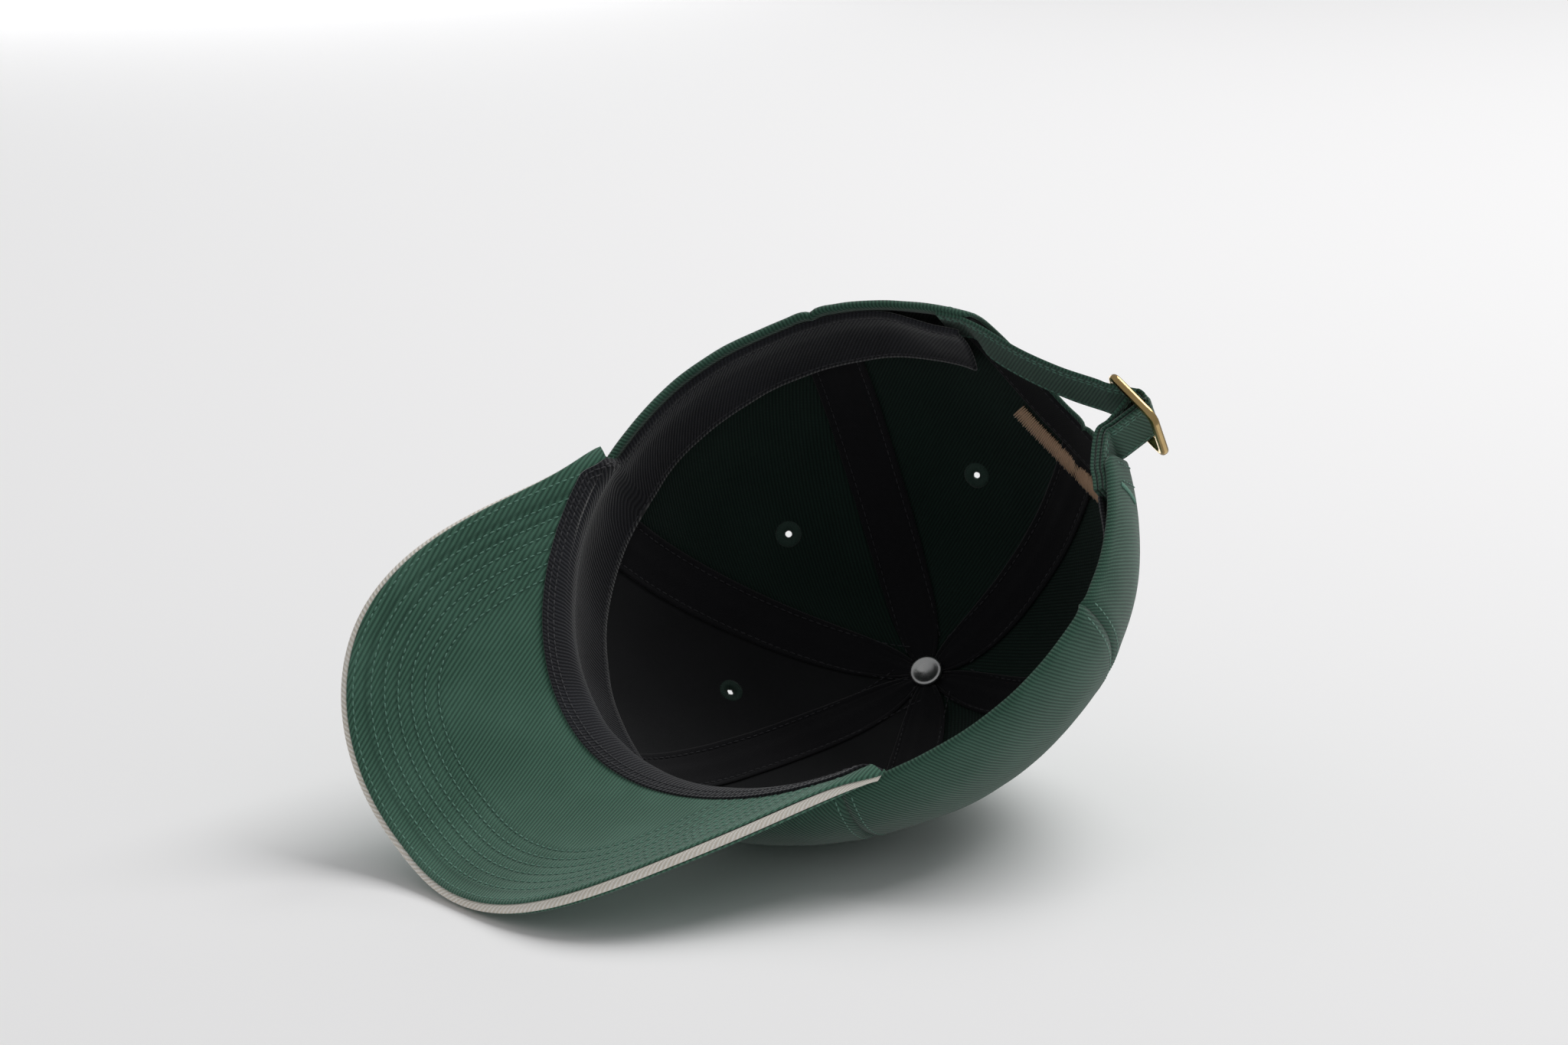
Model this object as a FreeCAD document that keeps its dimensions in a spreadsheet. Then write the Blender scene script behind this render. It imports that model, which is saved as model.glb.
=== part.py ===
"""Six-panel baseball cap with a sandwich brim and a strap-and-slider closure.

Millimetres.  The origin is the centre of the head opening, on the rim.  +Z points up through the
top button, -Y points forward along the brim and +X points to the wearer's left.
"""
import FreeCAD, Part
import Sketcher
import math
import os

V = FreeCAD.Vector

# alias, value, what it is
RIVET_LAYERS = "=panel_thickness + backing_thickness + 2 * tape_thickness + 3 * layer_gap"
DIMENSIONS = (
    ("opening_half_width", 88.0, "head opening, centre to side"),
    ("opening_half_length", 96.5, "head opening, centre to front"),
    ("front_taper", 0.035, "how much narrower the front of the opening is"),
    ("front_rise", 14.0, "how far the brim lifts the front of the rim"),
    ("crown_height", 110.0, "rim to the top of the panels"),
    ("crown_setback", 12.0, "top of the crown behind the centre"),
    ("crown_fullness", 2.1, "roundness of the profile at the sides"),
    ("crown_back_fullness", 0.55, "extra roundness at the back"),
    ("crown_rise_power", 1.7, "roundness of the profile upwards"),
    ("crown_bow", 0.10, "swell of the wall above the rim"),
    ("crown_eye", 4.0, "open radius where the panels meet"),
    ("panel_thickness", 0.9, "cotton twill"),
    ("seam_gap", 0.2, "between neighbouring panels"),
    ("layer_gap", 0.1, "between stacked layers"),
    ("tape_thickness", 0.5, "seam tape"),
    ("tape_width", 19.0, "seam tape"),
    ("backing_thickness", 0.7, "stiff backing behind the front panels"),
    ("sweatband_height", 35.0, "sweatband"),
    ("sweatband_thickness", 0.9, "sweatband"),
    ("arch_half_width", 38.0, "opening at the back, centre to side"),
    ("arch_height", 40.5, "opening at the back"),
    ("facing_width", 15.0, "facing round the arch"),
    ("facing_thickness", 0.5, "facing round the arch"),
    ("brim_tip", 169.0, "centre of the opening to the tip of the brim"),
    ("brim_half_width", 81.3, "brim, centre to side"),
    ("brim_start", 36.4, "where the brim's ends meet the rim, ahead of the centre"),
    ("brim_slope", 0.434, "fall of the brim, in radians"),
    ("brim_side_power", 0.83, "roundness of the brim's outline towards its sides"),
    ("brim_front_power", 0.567, "roundness of the brim's outline towards its tip"),
    ("brim_arch", 56.3, "how far the curl lifts the middle over the sides"),
    ("brim_board_thickness", 3.0, "brim board"),
    ("brim_cover_thickness", 0.8, "brim covers"),
    ("brim_piping_width", 3.4, "contrast edge between the covers"),
    ("brim_piping_proud", 0.9, "contrast edge beyond the covers"),
    ("eyelet_rise", 0.55, "eyelet position up the panel"),
    ("eyelet_outer_radius", 4.6, "stitched ring"),
    ("eyelet_hole_radius", 1.5, "ventilation hole"),
    ("eyelet_proud", 0.5, "stitched ring above the cloth"),
    ("button_radius", 7.5, "top button"),
    ("button_height", 4.2, "top button"),
    ("button_cloth", 0.6, "cloth over the top button"),
    ("rivet_radius", 5.8, "rivet plate inside the crown"),
    ("rivet_thickness", 1.2, "rivet plate inside the crown"),
    ("shank_radius", 1.6, "rivet shank"),
    ("strap_width", 20.0, "closure strap"),
    ("strap_thickness", 1.3, "closure strap"),
    ("loop_thickness", 1.2, "buckle loop"),
    ("strap_bottom", 1.5, "strap's lower edge above the rim"),
    ("strap_gap", 0.4, "between strap, loop and buckle"),
    ("buckle_offset", 27.0, "buckle bar to the right of the centre"),
    ("buckle_back", 15.0, "buckle bar behind the rim"),
    ("buckle_length", 25.0, "buckle, along the strap"),
    ("buckle_rail", 2.4, "width of the buckle's rails"),
    ("buckle_thickness", 2.6, "buckle"),
    ("buckle_clearance", 0.8, "strap's edge to each rail"),
    ("buckle_round", 1.0, "rounding of the buckle"),
    ("bar_radius", 1.1, "buckle bar"),
    ("bar_seat", 1.5, "depth of the bar in each rail"),
    ("bartack_length", 12.0, "bartack"),
    ("bartack_width", 1.8, "bartack"),
    ("bartack_height", 0.6, "bartack"),
    ("badge_offset", 17.0, "stitched bar above the arch"),
    ("badge_width", 7.0, "stitched bar"),
    ("badge_half_length", 27.0, "stitched bar, centre to end"),
    ("rivet_depth", RIVET_LAYERS, "layers of cloth above the rivet plate"),
)

FRONT = 0.0
SIXTH = math.pi / 3
STEP = 1e-3
BOW_SCALE = 27 / 4  # makes rise * (1 - rise) ** 2 peak at 1

doc = FreeCAD.newDocument("BaseballCap")
sheet = doc.addObject("Spreadsheet::Sheet", "Dimensions")
for row, (alias, value, note) in enumerate(DIMENSIONS, start=1):
    sheet.set("A%d" % row, alias)
    sheet.set("B%d" % row, str(value))
    sheet.set("C%d" % row, note)
    sheet.setAlias("B%d" % row, alias)
doc.recompute()


def size(alias):
    """A driving dimension, as a number."""
    return float(sheet.get(alias))


pieces = []


def keep(obj, label):
    """Name a finished sub-part and remember it for the export."""
    obj.Label = label
    pieces.append(obj)
    return obj


def feature(label, shape):
    """A sub-part whose free-form shape is worked out here."""
    obj = doc.addObject("Part::Feature", label)
    obj.Shape = shape
    obj.Placement = FreeCAD.Placement()
    return keep(obj, label)


# ---------------------------------------------------------------- free-form surfaces

def rim_point(theta):
    """The rim, theta measured from the front towards the wearer's left."""
    x = size("opening_half_width") * math.sin(theta) * (1 - size("front_taper") * math.cos(theta))
    y = -size("opening_half_length") * math.cos(theta)
    z = size("front_rise") * max(math.cos(theta), 0.0) ** 2
    return V(x, y, z)


def crown_point(theta, rise):
    """The outside of the crown; rise runs from 0 at the rim to 1 at the top."""
    base = rim_point(theta)
    fullness = size("crown_fullness") - size("crown_back_fullness") * math.cos(theta)
    inward = max(math.cos(rise * math.pi / 2), 0.0) ** (2 / fullness)
    upward = max(math.sin(rise * math.pi / 2), 0.0) ** (2 / size("crown_rise_power"))
    swell = 1 + size("crown_bow") * BOW_SCALE * rise * (1 - rise) ** 2
    x = base.x * swell * inward
    y = base.y * swell * inward + size("crown_setback") * (1 - inward)
    z = base.z * (1 - upward) + size("crown_height") * upward
    return V(x, y, z)


def crown_normal(theta, rise):
    """The outward direction of the crown."""
    around = crown_point(theta + STEP, rise) - crown_point(theta - STEP, rise)
    low, high = max(rise - STEP, 0.0), rise + STEP
    up = crown_point(theta, high) - crown_point(theta, low)
    return around.cross(up).normalize()


def crown_layer(theta, rise, depth):
    """A point below the crown's outside."""
    return crown_point(theta, rise) - crown_normal(theta, rise) * depth


def rise_at(theta, height):
    """How far up the crown a height above the rim lies."""
    base = rim_point(theta).z
    share = height / (size("crown_height") - base)
    return 2 / math.pi * math.asin(share ** (size("crown_rise_power") / 2))


def top_rise(theta):
    """Where the panels stop, at the open eye under the button."""
    low, high = 0.5, 1.0
    apex = V(0, size("crown_setback"), 0)
    for _ in range(40):
        middle = (low + high) / 2
        point = crown_point(theta, middle)
        if V(point.x, point.y, 0).distanceToPoint(apex) > size("crown_eye"):
            low = middle
        else:
            high = middle
    return low


def between(low, high, count):
    """Evenly spaced numbers, both ends included."""
    return [low + (high - low) * i / (count - 1) for i in range(count)]


def skin(rows):
    """A smooth surface through rows of points."""
    surface = Part.BSplineSurface()
    surface.interpolate(rows)
    return surface


def solid_between(outer_rows, inner_rows):
    """A closed solid between two surfaces that have the same grid."""
    outer, inner = skin(outer_rows), skin(inner_rows)
    faces = [outer.toShape(), inner.toShape()]
    u_low, u_high, v_low, v_high = outer.bounds()
    p_low, p_high, q_low, q_high = inner.bounds()
    rims = (
        (outer.uIso(u_low), inner.uIso(p_low)),
        (outer.uIso(u_high), inner.uIso(p_high)),
        (outer.vIso(v_low), inner.vIso(q_low)),
        (outer.vIso(v_high), inner.vIso(q_high)),
    )
    for one, other in rims:
        faces.append(Part.makeRuledSurface(one.toShape(), other.toShape()))
    joined = Part.makeCompound(faces)
    joined.sewShape(0.01)
    shell = joined.Shells[0]
    solid = Part.makeSolid(shell)
    if solid.Volume < 0:
        solid.reverse()
    return solid


def crown_solid(thetas, rises, depth, thickness):
    """A layer of the crown: rises(theta) gives the rises of one column."""
    outer = [[crown_layer(t, s, depth) for s in rises(t)] for t in thetas]
    inner = [[crown_layer(t, s, depth + thickness) for s in rises(t)] for t in thetas]
    return solid_between(outer, inner)


def arch_prism(extra):
    """The opening at the back, grown by a margin, as a bar through the back wall."""
    tall = size("arch_height") + extra
    wide = size("arch_half_width") + extra
    curve = Part.Ellipse(V(0, 0, 0), max(tall, wide), min(tall, wide))
    face = Part.Face(Part.Wire([curve.toShape()]))
    turn = 90 if tall > wide else 0
    face.rotate(V(0, 0, 0), V(0, 0, 1), turn)
    face.rotate(V(0, 0, 0), V(1, 0, 0), 90)
    return face.extrude(V(0, 2 * size("opening_half_length"), 0))


# ---------------------------------------------------------------- depths of the layers

PANEL = size("panel_thickness")
GAP = size("layer_gap")
TAPE_DEPTH = PANEL + GAP
BACKING_DEPTH = TAPE_DEPTH + size("tape_thickness") + GAP
FRONT_TAPE_DEPTH = BACKING_DEPTH + size("backing_thickness") + GAP
FACING_DEPTH = TAPE_DEPTH + size("tape_thickness") + 2 * GAP
STRAP_DEPTH = FACING_DEPTH + size("facing_thickness") + 3 * GAP
BAND_DEPTH = max(FRONT_TAPE_DEPTH + size("tape_thickness"), STRAP_DEPTH + size("strap_thickness"))
BAND_DEPTH += 2 * GAP
LOOP_STACK = 2 * size("loop_thickness") + 3 * size("strap_gap")
BRIM_STACK = size("brim_board_thickness") + 2 * size("brim_cover_thickness") + 2 * GAP
BRIM_END = math.acos(size("brim_start") / size("opening_half_length"))


# ---------------------------------------------------------------- crown

def eyelet_place(theta):
    """Placement of an eyelet, its Z axis along the crown's normal."""
    point = crown_point(theta, size("eyelet_rise"))
    normal = crown_normal(theta, size("eyelet_rise"))
    return FreeCAD.Placement(point, FreeCAD.Rotation(V(0, 0, 1), normal))


def eyelet_bore(theta):
    """The punched hole that a stitched ring fills."""
    radius = size("eyelet_outer_radius") + GAP / 2
    reach = 12.0
    bore = Part.makeCylinder(radius, 2 * reach, V(0, 0, -reach))
    bore.Placement = eyelet_place(theta)
    return bore


def panel_rises(theta):
    return between(0.0, top_rise(theta), 15)


def make_panel(label, middle):
    """One gore of the crown, from seam to seam."""
    slack = size("seam_gap") / 2 / size("opening_half_width")
    thetas = between(middle - SIXTH / 2 + slack, middle + SIXTH / 2 - slack, 9)
    solid = crown_solid(thetas, panel_rises, 0.0, PANEL)
    solid = solid.cut(eyelet_bore(middle))
    if abs(middle) > 2 * SIXTH:
        solid = solid.cut(arch_prism(0.0))
    return feature(label, solid)


def make_backing(label, middle):
    """Stiff backing behind a front panel."""
    slack = 2 * size("seam_gap") / size("opening_half_width")
    thetas = between(middle - SIXTH / 2 + slack, middle + SIXTH / 2 - slack, 9)
    solid = crown_solid(thetas, panel_rises, BACKING_DEPTH, size("backing_thickness"))
    return feature(label, solid.cut(eyelet_bore(middle)))


def tape_half_angle(theta, rise):
    """Half the angle that a tape covers; it narrows to its sixth near the top."""
    point = crown_point(theta, rise)
    radius = max(math.hypot(point.x, point.y - size("crown_setback")), 0.1)
    widest = SIXTH / 2 * 0.94
    return widest * math.tanh(size("tape_width") / 2 / radius / widest)


def make_tape(label, theta, depth, arched):
    """Tape that covers a seam on the inside."""
    rises = between(0.01, top_rise(theta), 15)
    shares = between(-1, 1, 5)

    def rows(level):
        grid = []
        for share in shares:
            grid.append([crown_layer(theta + share * tape_half_angle(theta, s), s, level) for s in rises])
        return grid

    solid = solid_between(rows(depth), rows(depth + size("tape_thickness")))
    if arched:
        solid = solid.cut(arch_prism(GAP))
    return feature(label, solid)


def band_depth(theta):
    """The sweatband stands further in where it passes over the ends of the straps."""
    start = math.radians(132)
    finish = math.radians(148)
    return BAND_DEPTH + LOOP_STACK * ramp((abs(theta) - start) / (finish - start))


def ramp(share):
    """A smooth step from 0 to 1."""
    share = min(max(share, 0.0), 1.0)
    return share * share * (3 - 2 * share)


def band_drop(theta):
    """The sweatband reaches below the rim over the inner end of the brim."""
    return BRIM_STACK * ramp((BRIM_END - abs(theta)) / 0.3)


def make_sweatband():
    """Turned strip all round the inside of the rim, open at the arch."""
    end = math.pi - math.asin((size("arch_half_width") + 2.0) / size("opening_half_width"))
    thetas = between(-end, end, 41)

    def rows(extra):
        grid = []
        for t in thetas:
            high = rise_at(t, size("sweatband_height"))
            column = [crown_layer(t, s, band_depth(t) + extra) for s in between(0.0, high, 5)]
            column[0] = column[0] - V(0, 0, band_drop(t))
            grid.append(column)
        return grid

    return feature("sweatband", solid_between(rows(0.0), rows(size("sweatband_thickness"))))


def back_layer(reach, depth, thickness):
    """A layer of the back of the crown, wide enough for a piece that reaches out sideways."""
    spread = math.asin(min(reach / size("opening_half_width"), 0.95))
    thetas = between(math.pi - spread, math.pi + spread, 15)
    high = rise_at(math.pi, min(reach + 25.0, size("crown_height") * 0.8))
    return crown_solid(thetas, lambda t: between(0.0, high, 9), depth, thickness)


def make_arch_facing():
    """Facing that follows the edge of the arch."""
    reach = size("arch_half_width") + size("facing_width")
    layer = back_layer(reach + 4.0, FACING_DEPTH, size("facing_thickness"))
    ring = arch_prism(size("facing_width")).cut(arch_prism(0.0))
    return feature("arch_facing", layer.common(ring))


def make_badge():
    """Plain satin-stitched bar above the arch."""
    inner = size("badge_offset")
    outer = inner + size("badge_width")
    layer = back_layer(size("arch_half_width") + outer + 4.0, FACING_DEPTH, size("facing_thickness"))
    ring = arch_prism(outer).cut(arch_prism(inner))
    half = size("badge_half_length")
    deep, tall = 2 * size("opening_half_length"), 2 * size("crown_height")
    window = Part.makeBox(2 * half, deep, tall, V(-half, 0, 0))
    return feature("stitched_bar", layer.common(ring).common(window))


def make_crown():
    sides = (("left", 1), ("right", -1))
    for side, sign in sides:
        make_panel("front_panel_" + side, sign * SIXTH / 2)
        make_panel("side_panel_" + side, sign * 3 * SIXTH / 2)
        make_panel("rear_panel_" + side, sign * 5 * SIXTH / 2)
        make_backing("front_backing_" + side, sign * SIXTH / 2)
        make_tape("front_side_tape_" + side, sign * SIXTH, FRONT_TAPE_DEPTH, False)
        make_tape("side_rear_tape_" + side, sign * 2 * SIXTH, TAPE_DEPTH, False)
    make_tape("front_centre_tape", FRONT, FRONT_TAPE_DEPTH, False)
    make_tape("rear_centre_tape", math.pi, TAPE_DEPTH, True)
    make_sweatband()
    make_arch_facing()
    make_badge()


# ---------------------------------------------------------------- brim

END_SHARE = 0.955


def brim_root(share):
    """Where the top of the brim meets the front of the crown."""
    return rim_point(math.sin(share * math.pi / 2) * BRIM_END)


def brim_edge(share):
    """The outer edge of the top of the brim."""
    phi = math.sin(share * math.pi / 2) * math.pi / 2
    x = size("brim_half_width") * math.copysign(abs(math.sin(phi)) ** size("brim_side_power"), phi)
    reach = (size("brim_tip") - size("brim_start")) * abs(math.cos(phi)) ** size("brim_front_power")
    lift = size("brim_arch") * (1 - (x / size("brim_half_width")) ** 2) + BRIM_STACK / 2
    return V(x, -size("brim_start") - reach, lift - math.tan(size("brim_slope")) * reach)


def brim_point(share, inset):
    """A point of the brim's top, inset millimetres from its outer edge."""
    edge = brim_edge(share)
    root = brim_root(share)
    return edge + (root - edge).normalize() * inset


def brim_width(share):
    return (brim_root(share) - brim_edge(share)).Length


def brim_normal(share, inset):
    across = brim_point(share + STEP, inset) - brim_point(share - STEP, inset)
    along = brim_edge(share) - brim_root(share)
    normal = along.cross(across).normalize()
    return normal if normal.z > 0 else normal * -1


def brim_solid(depth, thickness, low, high):
    """A layer of the brim, depth below its top, from one inset to another or to the root."""
    shares = between(-END_SHARE, END_SHARE, 33)

    def rows(level):
        grid = []
        for share in shares:
            deep = brim_width(share) if high is None else high
            insets = between(low, deep, 5)
            grid.append([brim_point(share, i) - brim_normal(share, i) * level for i in insets])
        return grid

    return solid_between(rows(depth), rows(depth + thickness))


def make_brim():
    board = size("brim_board_thickness")
    cover = size("brim_cover_thickness")
    piping = size("brim_piping_width")
    middle = GAP + cover + GAP / 2
    under = middle + board + GAP / 2
    feature("brim_top_cover", brim_solid(GAP, cover, 0.0, None))
    feature("brim_board", brim_solid(middle, board, piping, None))
    feature("brim_under_cover", brim_solid(under, cover, 0.0, None))
    edge = brim_solid(middle, board, -size("brim_piping_proud"), piping - GAP)
    feature("brim_contrast_edge", edge)


# ---------------------------------------------------------------- eyelets

def make_eyelet(label, theta, layers):
    """A stitched ring round a ventilation hole, through all the cloth there."""
    ring = doc.addObject("Part::Cylinder", label + "_ring")
    ring.setExpression("Radius", "Dimensions.eyelet_outer_radius")
    ring.setExpression("Height", "%s + 2 * Dimensions.eyelet_proud" % layers)
    hole = doc.addObject("Part::Cylinder", label + "_hole")
    hole.setExpression("Radius", "Dimensions.eyelet_hole_radius")
    hole.setExpression("Height", "%s + 2 * Dimensions.eyelet_proud" % layers)
    cut = doc.addObject("Part::Cut", label)
    cut.Base = ring
    cut.Tool = hole
    doc.recompute()
    drop = ring.Height.Value - size("eyelet_proud")
    cut.Placement = eyelet_place(theta).multiply(FreeCAD.Placement(V(0, 0, -drop), FreeCAD.Rotation()))
    return keep(cut, label)


def make_eyelets():
    cloth = "Dimensions.panel_thickness"
    lined = cloth + " + Dimensions.tape_thickness + Dimensions.backing_thickness + 2 * Dimensions.layer_gap"
    for side, sign in (("left", 1), ("right", -1)):
        make_eyelet("front_eyelet_" + side, sign * SIXTH / 2, lined)
        make_eyelet("side_eyelet_" + side, sign * 3 * SIXTH / 2, cloth)
        make_eyelet("rear_eyelet_" + side, sign * 5 * SIXTH / 2, cloth)


# ---------------------------------------------------------------- turned pieces

def origin_plane(body, role):
    for plane in body.Origin.OriginFeatures:
        if plane.Role == role:
            return plane
    raise ValueError(role)


def origin_sketch(body, name, role):
    """A sketch on one of the body's own planes."""
    sketch = body.newObject("Sketcher::SketchObject", name)
    sketch.AttachmentSupport = [(origin_plane(body, role), "")]
    sketch.MapMode = "FlatFace"
    return sketch


def closed_outline(sketch, points):
    """Straight edges through the points, closed; returns the sketch."""
    count = len(points)
    for i in range(count):
        start, stop = points[i], points[(i + 1) % count]
        sketch.addGeometry(Part.LineSegment(V(*start, 0), V(*stop, 0)), False)
    for i in range(count):
        sketch.addConstraint(Sketcher.Constraint("Coincident", i, 2, (i + 1) % count, 1))
    return sketch


def pin_points(sketch, expressions):
    """Hold the start of each edge by its distance from both axes."""
    for i, (across, up) in enumerate(expressions):
        for kind, axis, text in (("DistanceX", "across", across), ("DistanceY", "up", up)):
            point = sketch.getPoint(i, 1)
            value = point.x if kind == "DistanceX" else point.y
            index = sketch.addConstraint(Sketcher.Constraint(kind, -1, 1, i, 1, value))
            name = "%s_%d" % (axis, i)
            sketch.renameConstraint(index, name)
            sketch.setExpression("Constraints." + name, text)


def turned_body(label, outline, height):
    """A body turned about Z; outline holds (radius, height) pairs of expressions."""
    body = doc.addObject("PartDesign::Body", label)
    sketch = origin_sketch(body, label + "_profile", "XZ_Plane")
    numbers = [tuple(evaluate(text) for text in pair) for pair in outline]
    closed_outline(sketch, numbers)
    pin_points(sketch, outline)
    turn = body.newObject("PartDesign::Revolution", label + "_turn")
    turn.Profile = sketch
    turn.ReferenceAxis = (sketch, ["V_Axis"])
    turn.Angle = 360
    body.Tip = turn
    body.setExpression("Placement.Base.y", "Dimensions.crown_setback")
    body.setExpression("Placement.Base.z", height)
    doc.recompute()
    return body, turn


def evaluate(text):
    """The number that a sheet expression stands for."""
    for alias, _, _ in sorted(DIMENSIONS, key=lambda item: -len(item[0])):
        text = text.replace("Dimensions." + alias, "(%r)" % size(alias))
    total = sheet.evalExpression(text)
    return float(getattr(total, "Value", total))


def round_edges(body, base, label, edges, expression):
    """Fillet some edges of the body's last feature."""
    fillet = body.newObject("PartDesign::Fillet", label + "_fillet")
    fillet.Base = (base, edges)
    fillet.setExpression("Radius", expression)
    body.Tip = fillet
    doc.recompute()
    return fillet


def edges_at(shape, radius, height):
    """Names of the circular edges with this radius at this height above the body's origin."""
    found = []
    for i, edge in enumerate(shape.Edges, start=1):
        curve = edge.Curve
        if isinstance(curve, Part.Circle) and abs(curve.Radius - radius) < 1e-4:
            if abs(curve.Center.z - height) < 1e-4:
                found.append("Edge%d" % i)
    return found


def make_button():
    """Cloth-covered button on top, its core, and the rivet that clamps it through the crown."""
    r, tall, cloth = "Dimensions.button_radius", "Dimensions.button_height", "Dimensions.button_cloth"
    seat = "Dimensions.crown_height + 2 * Dimensions.layer_gap"
    inner, roof = r + " - " + cloth, tall + " - " + cloth
    shell = (("0", tall), (r, tall), (r, "0"), (inner, "0"), (inner, roof), ("0", roof))
    body, turn = turned_body("button_cover", shell, seat)
    outer_edge = edges_at(turn.Shape, size("button_radius"), size("button_height"))
    outer = round_edges(body, turn, "button_cover", outer_edge, tall + " * 0.7")
    inside = edges_at(outer.Shape, size("button_radius") - size("button_cloth"),
                      size("button_height") - size("button_cloth"))
    round_edges(body, outer, "button_cover_inner", inside, tall + " * 0.7 - " + cloth)
    keep(body, "button_cover")
    slack = "Dimensions.layer_gap"
    core = (("0", roof + " - " + slack), (inner + " - " + slack, roof + " - " + slack),
            (inner + " - " + slack, "0"), ("Dimensions.shank_radius", "0"),
            ("Dimensions.shank_radius", "%s / 2" % tall), ("0", "%s / 2" % tall))
    body, turn = turned_body("button_core", core, seat)
    rim = edges_at(turn.Shape, size("button_radius") - size("button_cloth") - GAP,
                   size("button_height") - size("button_cloth") - GAP)
    round_edges(body, turn, "button_core", rim, tall + " * 0.7 - " + cloth)
    keep(body, "button_core")


def make_rivet():
    """Dished plate inside the crown with a shank up into the button."""
    r, thick, shank = "Dimensions.rivet_radius", "Dimensions.rivet_thickness", "Dimensions.shank_radius"
    rise = "Dimensions.rivet_thickness * 0.6"
    base = "Dimensions.crown_height - Dimensions.rivet_depth - Dimensions.rivet_thickness * 2"
    reach = "Dimensions.rivet_depth + Dimensions.rivet_thickness * 2 + Dimensions.button_height / 2"
    plate = (("0", rise), (r + " * 0.55", rise), (r + " * 0.8", "0"), (r, thick + " * 0.4"),
             (r, thick), (shank, thick + " * 1.6"), (shank, reach), ("0", reach))
    body, _ = turned_body("button_rivet", plate, base)
    keep(body, "button_rivet")


# ---------------------------------------------------------------- closure

STRAP_MIDDLE = size("strap_bottom") + size("strap_width") / 2


def bar_place():
    """Centre of the buckle bar in plan."""
    theta = math.pi + math.asin(size("buckle_offset") / size("opening_half_width"))
    rim = rim_point(theta)
    return V(-size("buckle_offset"), rim.y + size("buckle_back"), 0)


def smooth(points):
    """A smooth curve through points."""
    curve = Part.BSplineCurve()
    curve.interpolate(points)
    return curve


def strand_outline(points, thickness):
    """A flat outline of even thickness along a level route."""
    route = smooth(points)
    first, last = route.FirstParameter, route.LastParameter
    one_side, other_side = [], []
    for parameter in between(first, last, 8 * len(points)):
        point = route.value(parameter)
        flow = route.tangent(parameter)[0]
        normal = V(flow.y, -flow.x, 0).normalize()
        one_side.append(point + normal * (thickness / 2))
        other_side.append(point - normal * (thickness / 2))
    edges = [
        smooth(one_side).toShape(),
        Part.makeLine(one_side[-1], other_side[-1]),
        smooth(other_side[::-1]).toShape(),
        Part.makeLine(other_side[0], one_side[0]),
    ]
    return Part.Wire(edges)


def ribbon(stations, thickness):
    """A flat strap through stations, each the place of its lower and upper edge in plan."""
    low, high = size("strap_bottom"), size("strap_bottom") + size("strap_width")
    lower = strand_outline([V(a.x, a.y, low) for a, _ in stations], thickness)
    upper = strand_outline([V(b.x, b.y, high) for _, b in stations], thickness)
    return Part.makeLoft([lower, upper], True, True)


def wall_point(theta, height, depth):
    """A point inside the wall at a height, depth millimetres square to the wall."""
    rise = rise_at(theta, height)
    normal = crown_normal(theta, rise)
    level = V(normal.x, normal.y, 0)
    return crown_point(theta, rise) - level * (depth / level.Length ** 2)


def wall_station(theta, depth):
    """A station against the inside of the crown wall, leaning with it."""
    low = size("strap_bottom")
    return wall_point(theta, low, depth), wall_point(theta, low + size("strap_width"), depth)


def free_station(x, y):
    """An upright station."""
    return V(x, y, 0), V(x, y, 0)


def around_bar(radius, angles):
    """Stations on a circle round the buckle bar, angles from the wearer's right."""
    centre = bar_place()
    found = []
    for angle in angles:
        turn = math.radians(angle)
        found.append(free_station(centre.x - radius * math.cos(turn), centre.y + radius * math.sin(turn)))
    return found


def corner_theta(extra):
    """Angle of the arch's corner, moved away from the arch by extra millimetres."""
    return math.pi - math.asin((size("arch_half_width") + extra) / size("opening_half_width"))


LOOP_RADIUS = size("bar_radius") + size("strap_gap") + size("loop_thickness") / 2
STRAP_RADIUS = LOOP_RADIUS + (size("loop_thickness") + size("strap_thickness")) / 2 + size("strap_gap")
TAIL_MIDDLE = STRAP_DEPTH + size("strap_thickness") / 2
LOOP_OUTER = (size("strap_thickness") + size("loop_thickness")) / 2 + size("strap_gap")
LOOP_INNER = LOOP_OUTER + size("loop_thickness") + size("strap_gap")


def clear_half_width():
    """Half the width of the arch at the height of the strap's upper edge."""
    share = (size("strap_bottom") + size("strap_width")) / size("arch_height")
    return size("arch_half_width") * math.sqrt(1 - share * share)


def wall_y(x):
    """How far back the rim is at a distance from the centre."""
    theta = math.pi - math.asin(abs(x) / size("opening_half_width"))
    return rim_point(theta).y


def strand_to_corner(offset):
    """Stations through the arch and along the inside of the right rear corner.

    The strap's tail has offset 0; the strands beside it lie further towards the head.
    """
    cross = 1.5 - clear_half_width()
    base = [free_station(cross, wall_y(cross) + ahead) for ahead in (6.0, 2.0)]
    base += [wall_station(-corner_theta(extra), TAIL_MIDDLE) for extra in (1.0, 5.0, 9.0)]
    last = len(base) - 1
    moved = []
    for i in range(len(base)):
        pair = []
        for edge in (0, 1):
            heading = base[min(i + 1, last)][edge] - base[max(i - 1, 0)][edge]
            inward = V(-heading.y, heading.x, 0).normalize()
            pair.append(base[i][edge] + inward * offset)
        moved.append(tuple(pair))
    return moved


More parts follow.
